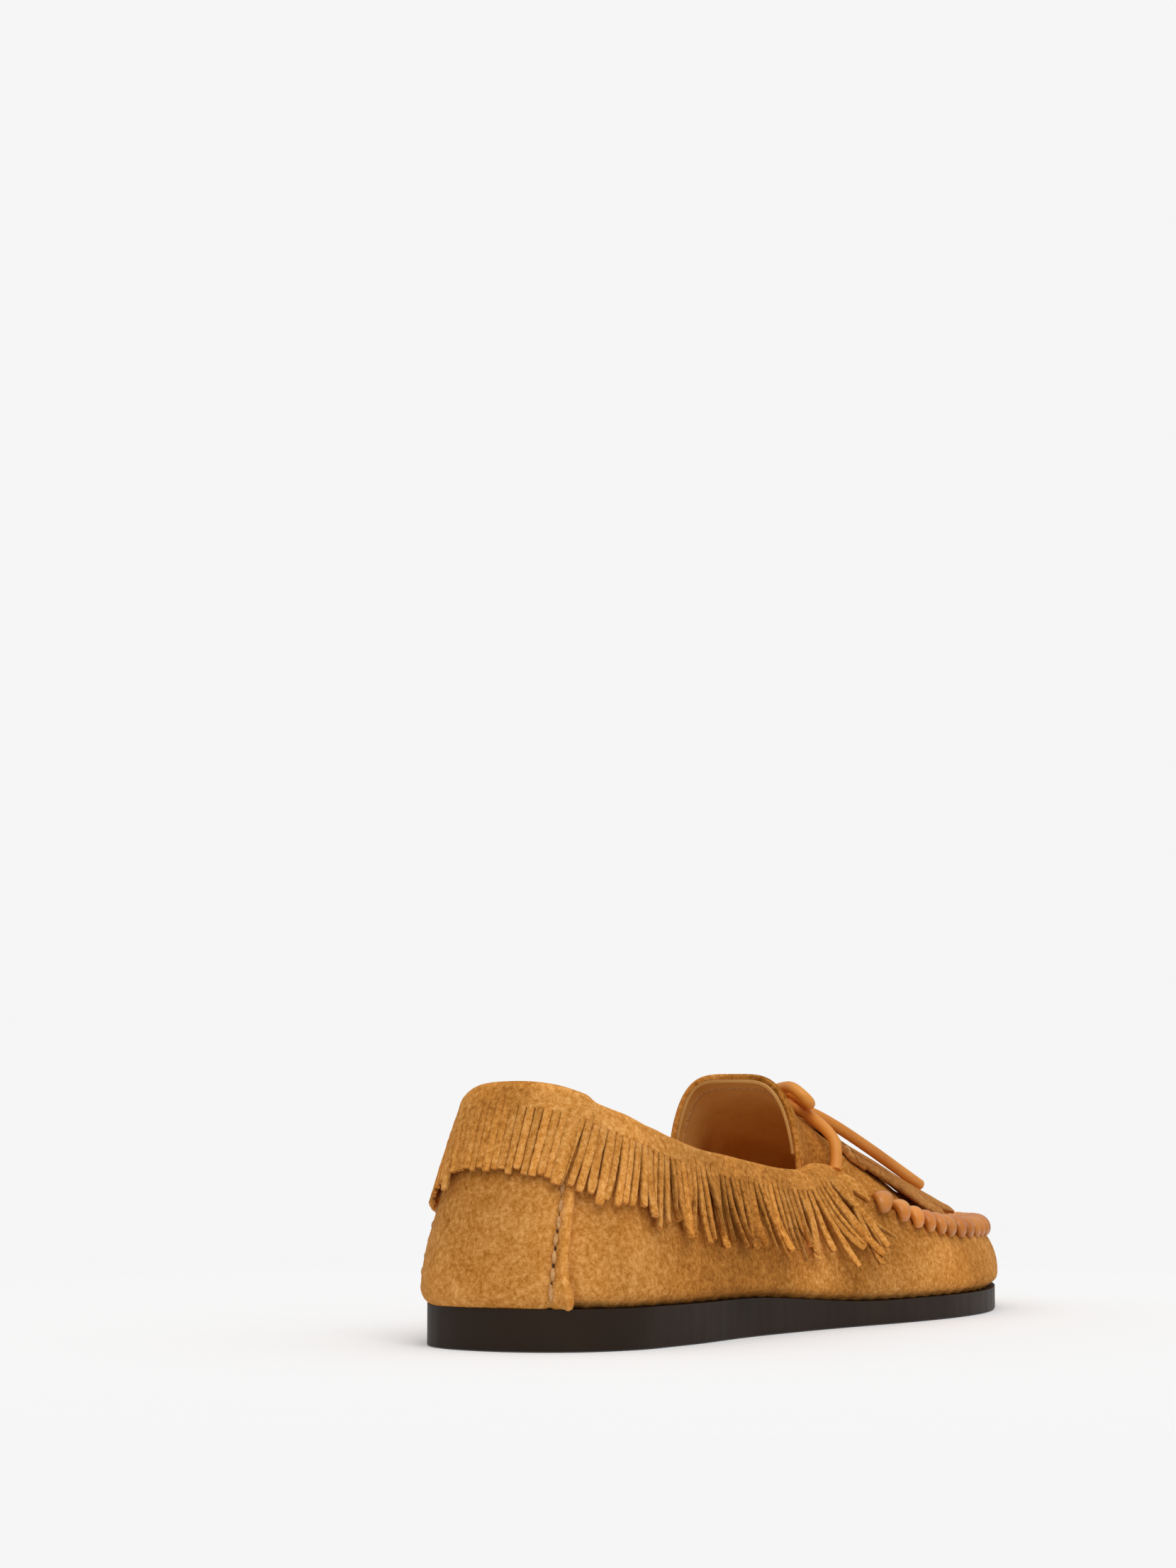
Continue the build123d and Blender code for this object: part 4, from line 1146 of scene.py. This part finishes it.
add_mesh("apron_suede", make_apron(), SUEDE_LOOK, "root", ["apron"])
add_mesh("apron_lining_leather", apron_layer(-SUEDE - LAYER_GAP, LINING, 0.008, 0.96), LINING_LOOK,
         "root", ["apron_lining"])
QUARTER_UPS = np.linspace(0.05, 1.0, 30)
add_mesh("quarter_lining_leather",
         wall_layer(COLLAR_INNER + 1, COLLAR_OUTER - 1, 260, QUARTER_UPS, lining_out, LINING),
         LINING_LOOK, "root", ["quarter_lining"])
TOE_UPS = 0.08 + 0.74 * np.linspace(0, 1, 16)**1.4
add_mesh("vamp_lining_leather",
         wall_layer(COLLAR_OUTER + 1, AROUND + COLLAR_INNER - 1, 220, TOE_UPS, -SUEDE - 2 * LAYER_GAP,
                    LINING),
         LINING_LOOK, "root", ["vamp_lining"])

whip_draw = np.random.default_rng(61)
turn_count = round((SEAM_TO - SEAM_FROM) / WHIP_PITCH)
turns = [make_whip_turn(place, whip_draw) for place in np.linspace(SEAM_FROM, SEAM_TO, turn_count + 1)]
add_mesh("whip_stitches", joined(turns), WHIP_LOOK, "root", ["whipstitch_thong"])

add_mesh("kiltie_leaves", make_kiltie(), KILTIE_SHADED_LOOK, "kiltie_flap", ["kiltie"])
add_mesh("kiltie_thread", make_kiltie_stitches(), THREAD_LOOK, "kiltie_flap", ["kiltie_stitching"])
add_mesh("bow_knot_thong", make_knot(), THONG_LOOK, "root", ["bow_knot"])
for side, label in ((-1, "outer"), (1, "inner")):
    add_lace(f"strand_{label}", STRAND, side, "root", f"lace_strand_{label}")
    add_lace(f"loop_{label}", BOW_LOOP, side, f"{label}_bow_loop", f"bow_loop_{label}")
    add_lace(f"end_{label}", LACE_END, side, f"{label}_lace_end", f"lace_end_{label}")

add_mesh("sock_leather", plate(FEATHER + 0.5, sock_low, lambda x: sock_low(x) + SOCK, cols=40), LINING_LOOK,
         "root", ["sock_lining"])
pad_shape = plate(FEATHER + 1.5, pad_low, lambda x: pad_low(x) + np.maximum(pad_top(x), 0.3),
                  x_to=PAD_END - 1.0, rows=60)
pad = add_mesh("heel_pad_foam", pad_shape, FOAM_LOOK, "root", ["heel_pad"])

CAD_LOOKS = {"outsole": SOLE_LOOK, "steel_shank": STEEL_LOOK, "insole_board": BOARD_LOOK,
             "heel_counter": BOARD_LOOK, "collar_lace": THONG_FREE, "tongue_edge_stitching": THREAD_LOOK}
for node, look in CAD_LOOKS.items():
    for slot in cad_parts[node].material_slots:
        slot.material = look


# ---- Floor, light and camera ----

FLOOR_SOLID = 0.16
FLOOR_GONE = 0.42
BACKDROP = 0.92
SKY_LEVEL = 0.40
SKY_OVERHEAD = 0.60
KEY_FROM = (-1.0, -0.95, 1.6)
KEY_STRENGTH = 1.05
KEY_SPREAD = 40


def add_floor():
    mesh = bpy.data.meshes.new("studio_floor")
    reach, low = 2.0, -0.0003
    corners = [(-reach, -reach, low), (reach, -reach, low), (reach, reach, low), (-reach, reach, low)]
    mesh.from_pydata(corners, [], [(0, 1, 2, 3)])
    floor = bpy.data.objects.new("studio_floor", mesh)
    nodes = Nodes("floor_white")
    nodes.value("Base Color", (0.99, 0.99, 0.99, 1.0))
    nodes.value("Emission Color", (1.0, 1.0, 1.0, 1.0))
    nodes.value("Emission Strength", 0.05)
    nodes.value("Roughness", 0.9)
    nodes.value("Specular IOR Level", 0.0)
    nodes.fade_out(FLOOR_SOLID, FLOOR_GONE)
    mesh.materials.append(nodes.material)
    bpy.context.scene.collection.objects.link(floor)


def add_sun(name, place, strength, spread):
    """Light from one direction, soft as from a large window."""
    light = bpy.data.lights.new(name, "SUN")
    light.energy = strength
    light.angle = math.radians(spread)
    lamp = bpy.data.objects.new(name, light)
    lamp.location = place
    lamp.rotation_euler = (-Vector(place)).to_track_quat("-Z", "Y").to_euler()
    bpy.context.scene.collection.objects.link(lamp)


def add_world(shown, level, overhead):
    """A plain white surround seen as bright as shown; it lights by level, plus overhead at the top."""
    world = bpy.data.worlds.new("studio_white")
    world.use_nodes = True
    tree = world.node_tree
    plain = tree.nodes["Background"]
    plain.inputs["Strength"].default_value = shown
    plain.inputs["Color"].default_value = (1.0, 1.0, 1.0, 1.0)
    lighting = tree.nodes.new("ShaderNodeBackground")
    where = tree.nodes.new("ShaderNodeTexCoord")
    split = tree.nodes.new("ShaderNodeSeparateXYZ")
    grow = tree.nodes.new("ShaderNodeMath")
    grow.operation = "MULTIPLY_ADD"
    grow.inputs[1].default_value = overhead
    grow.inputs[2].default_value = level
    grow.use_clamp = False
    rays = tree.nodes.new("ShaderNodeLightPath")
    mix = tree.nodes.new("ShaderNodeMixShader")
    tree.links.new(where.outputs["Generated"], split.inputs["Vector"])
    tree.links.new(split.outputs["Z"], grow.inputs[0])
    tree.links.new(grow.outputs["Value"], lighting.inputs["Strength"])
    tree.links.new(rays.outputs["Is Camera Ray"], mix.inputs["Fac"])
    tree.links.new(lighting.outputs["Background"], mix.inputs[1])
    tree.links.new(plain.outputs["Background"], mix.inputs[2])
    tree.links.new(mix.outputs["Shader"], tree.nodes["World Output"].inputs["Surface"])
    bpy.context.scene.world = world


CAMERA_PLACE = (-0.8636, -0.4573, 0.0608)
CAMERA_BEARING = (0.863, 0.505)
CAMERA_PITCH = 5.04
CAMERA_LENS = 81.4


def add_camera():
    camera = bpy.data.cameras.new("photo_camera")
    camera.sensor_fit = "VERTICAL"
    camera.sensor_height = 36.0
    camera.lens = CAMERA_LENS
    camera.clip_end = 50.0
    eye = bpy.data.objects.new("photo_camera", camera)
    eye.location = CAMERA_PLACE
    turn = math.atan2(CAMERA_BEARING[1], CAMERA_BEARING[0]) - math.pi / 2
    eye.rotation_euler = Euler((math.radians(90 + CAMERA_PITCH), 0.0, turn), "XYZ")
    bpy.context.scene.collection.objects.link(eye)
    bpy.context.scene.camera = eye


add_floor()
add_world(BACKDROP, SKY_LEVEL, SKY_OVERHEAD)
add_sun("key_light", KEY_FROM, KEY_STRENGTH, KEY_SPREAD)
bpy.context.scene.view_settings.view_transform = "Standard"
add_camera()
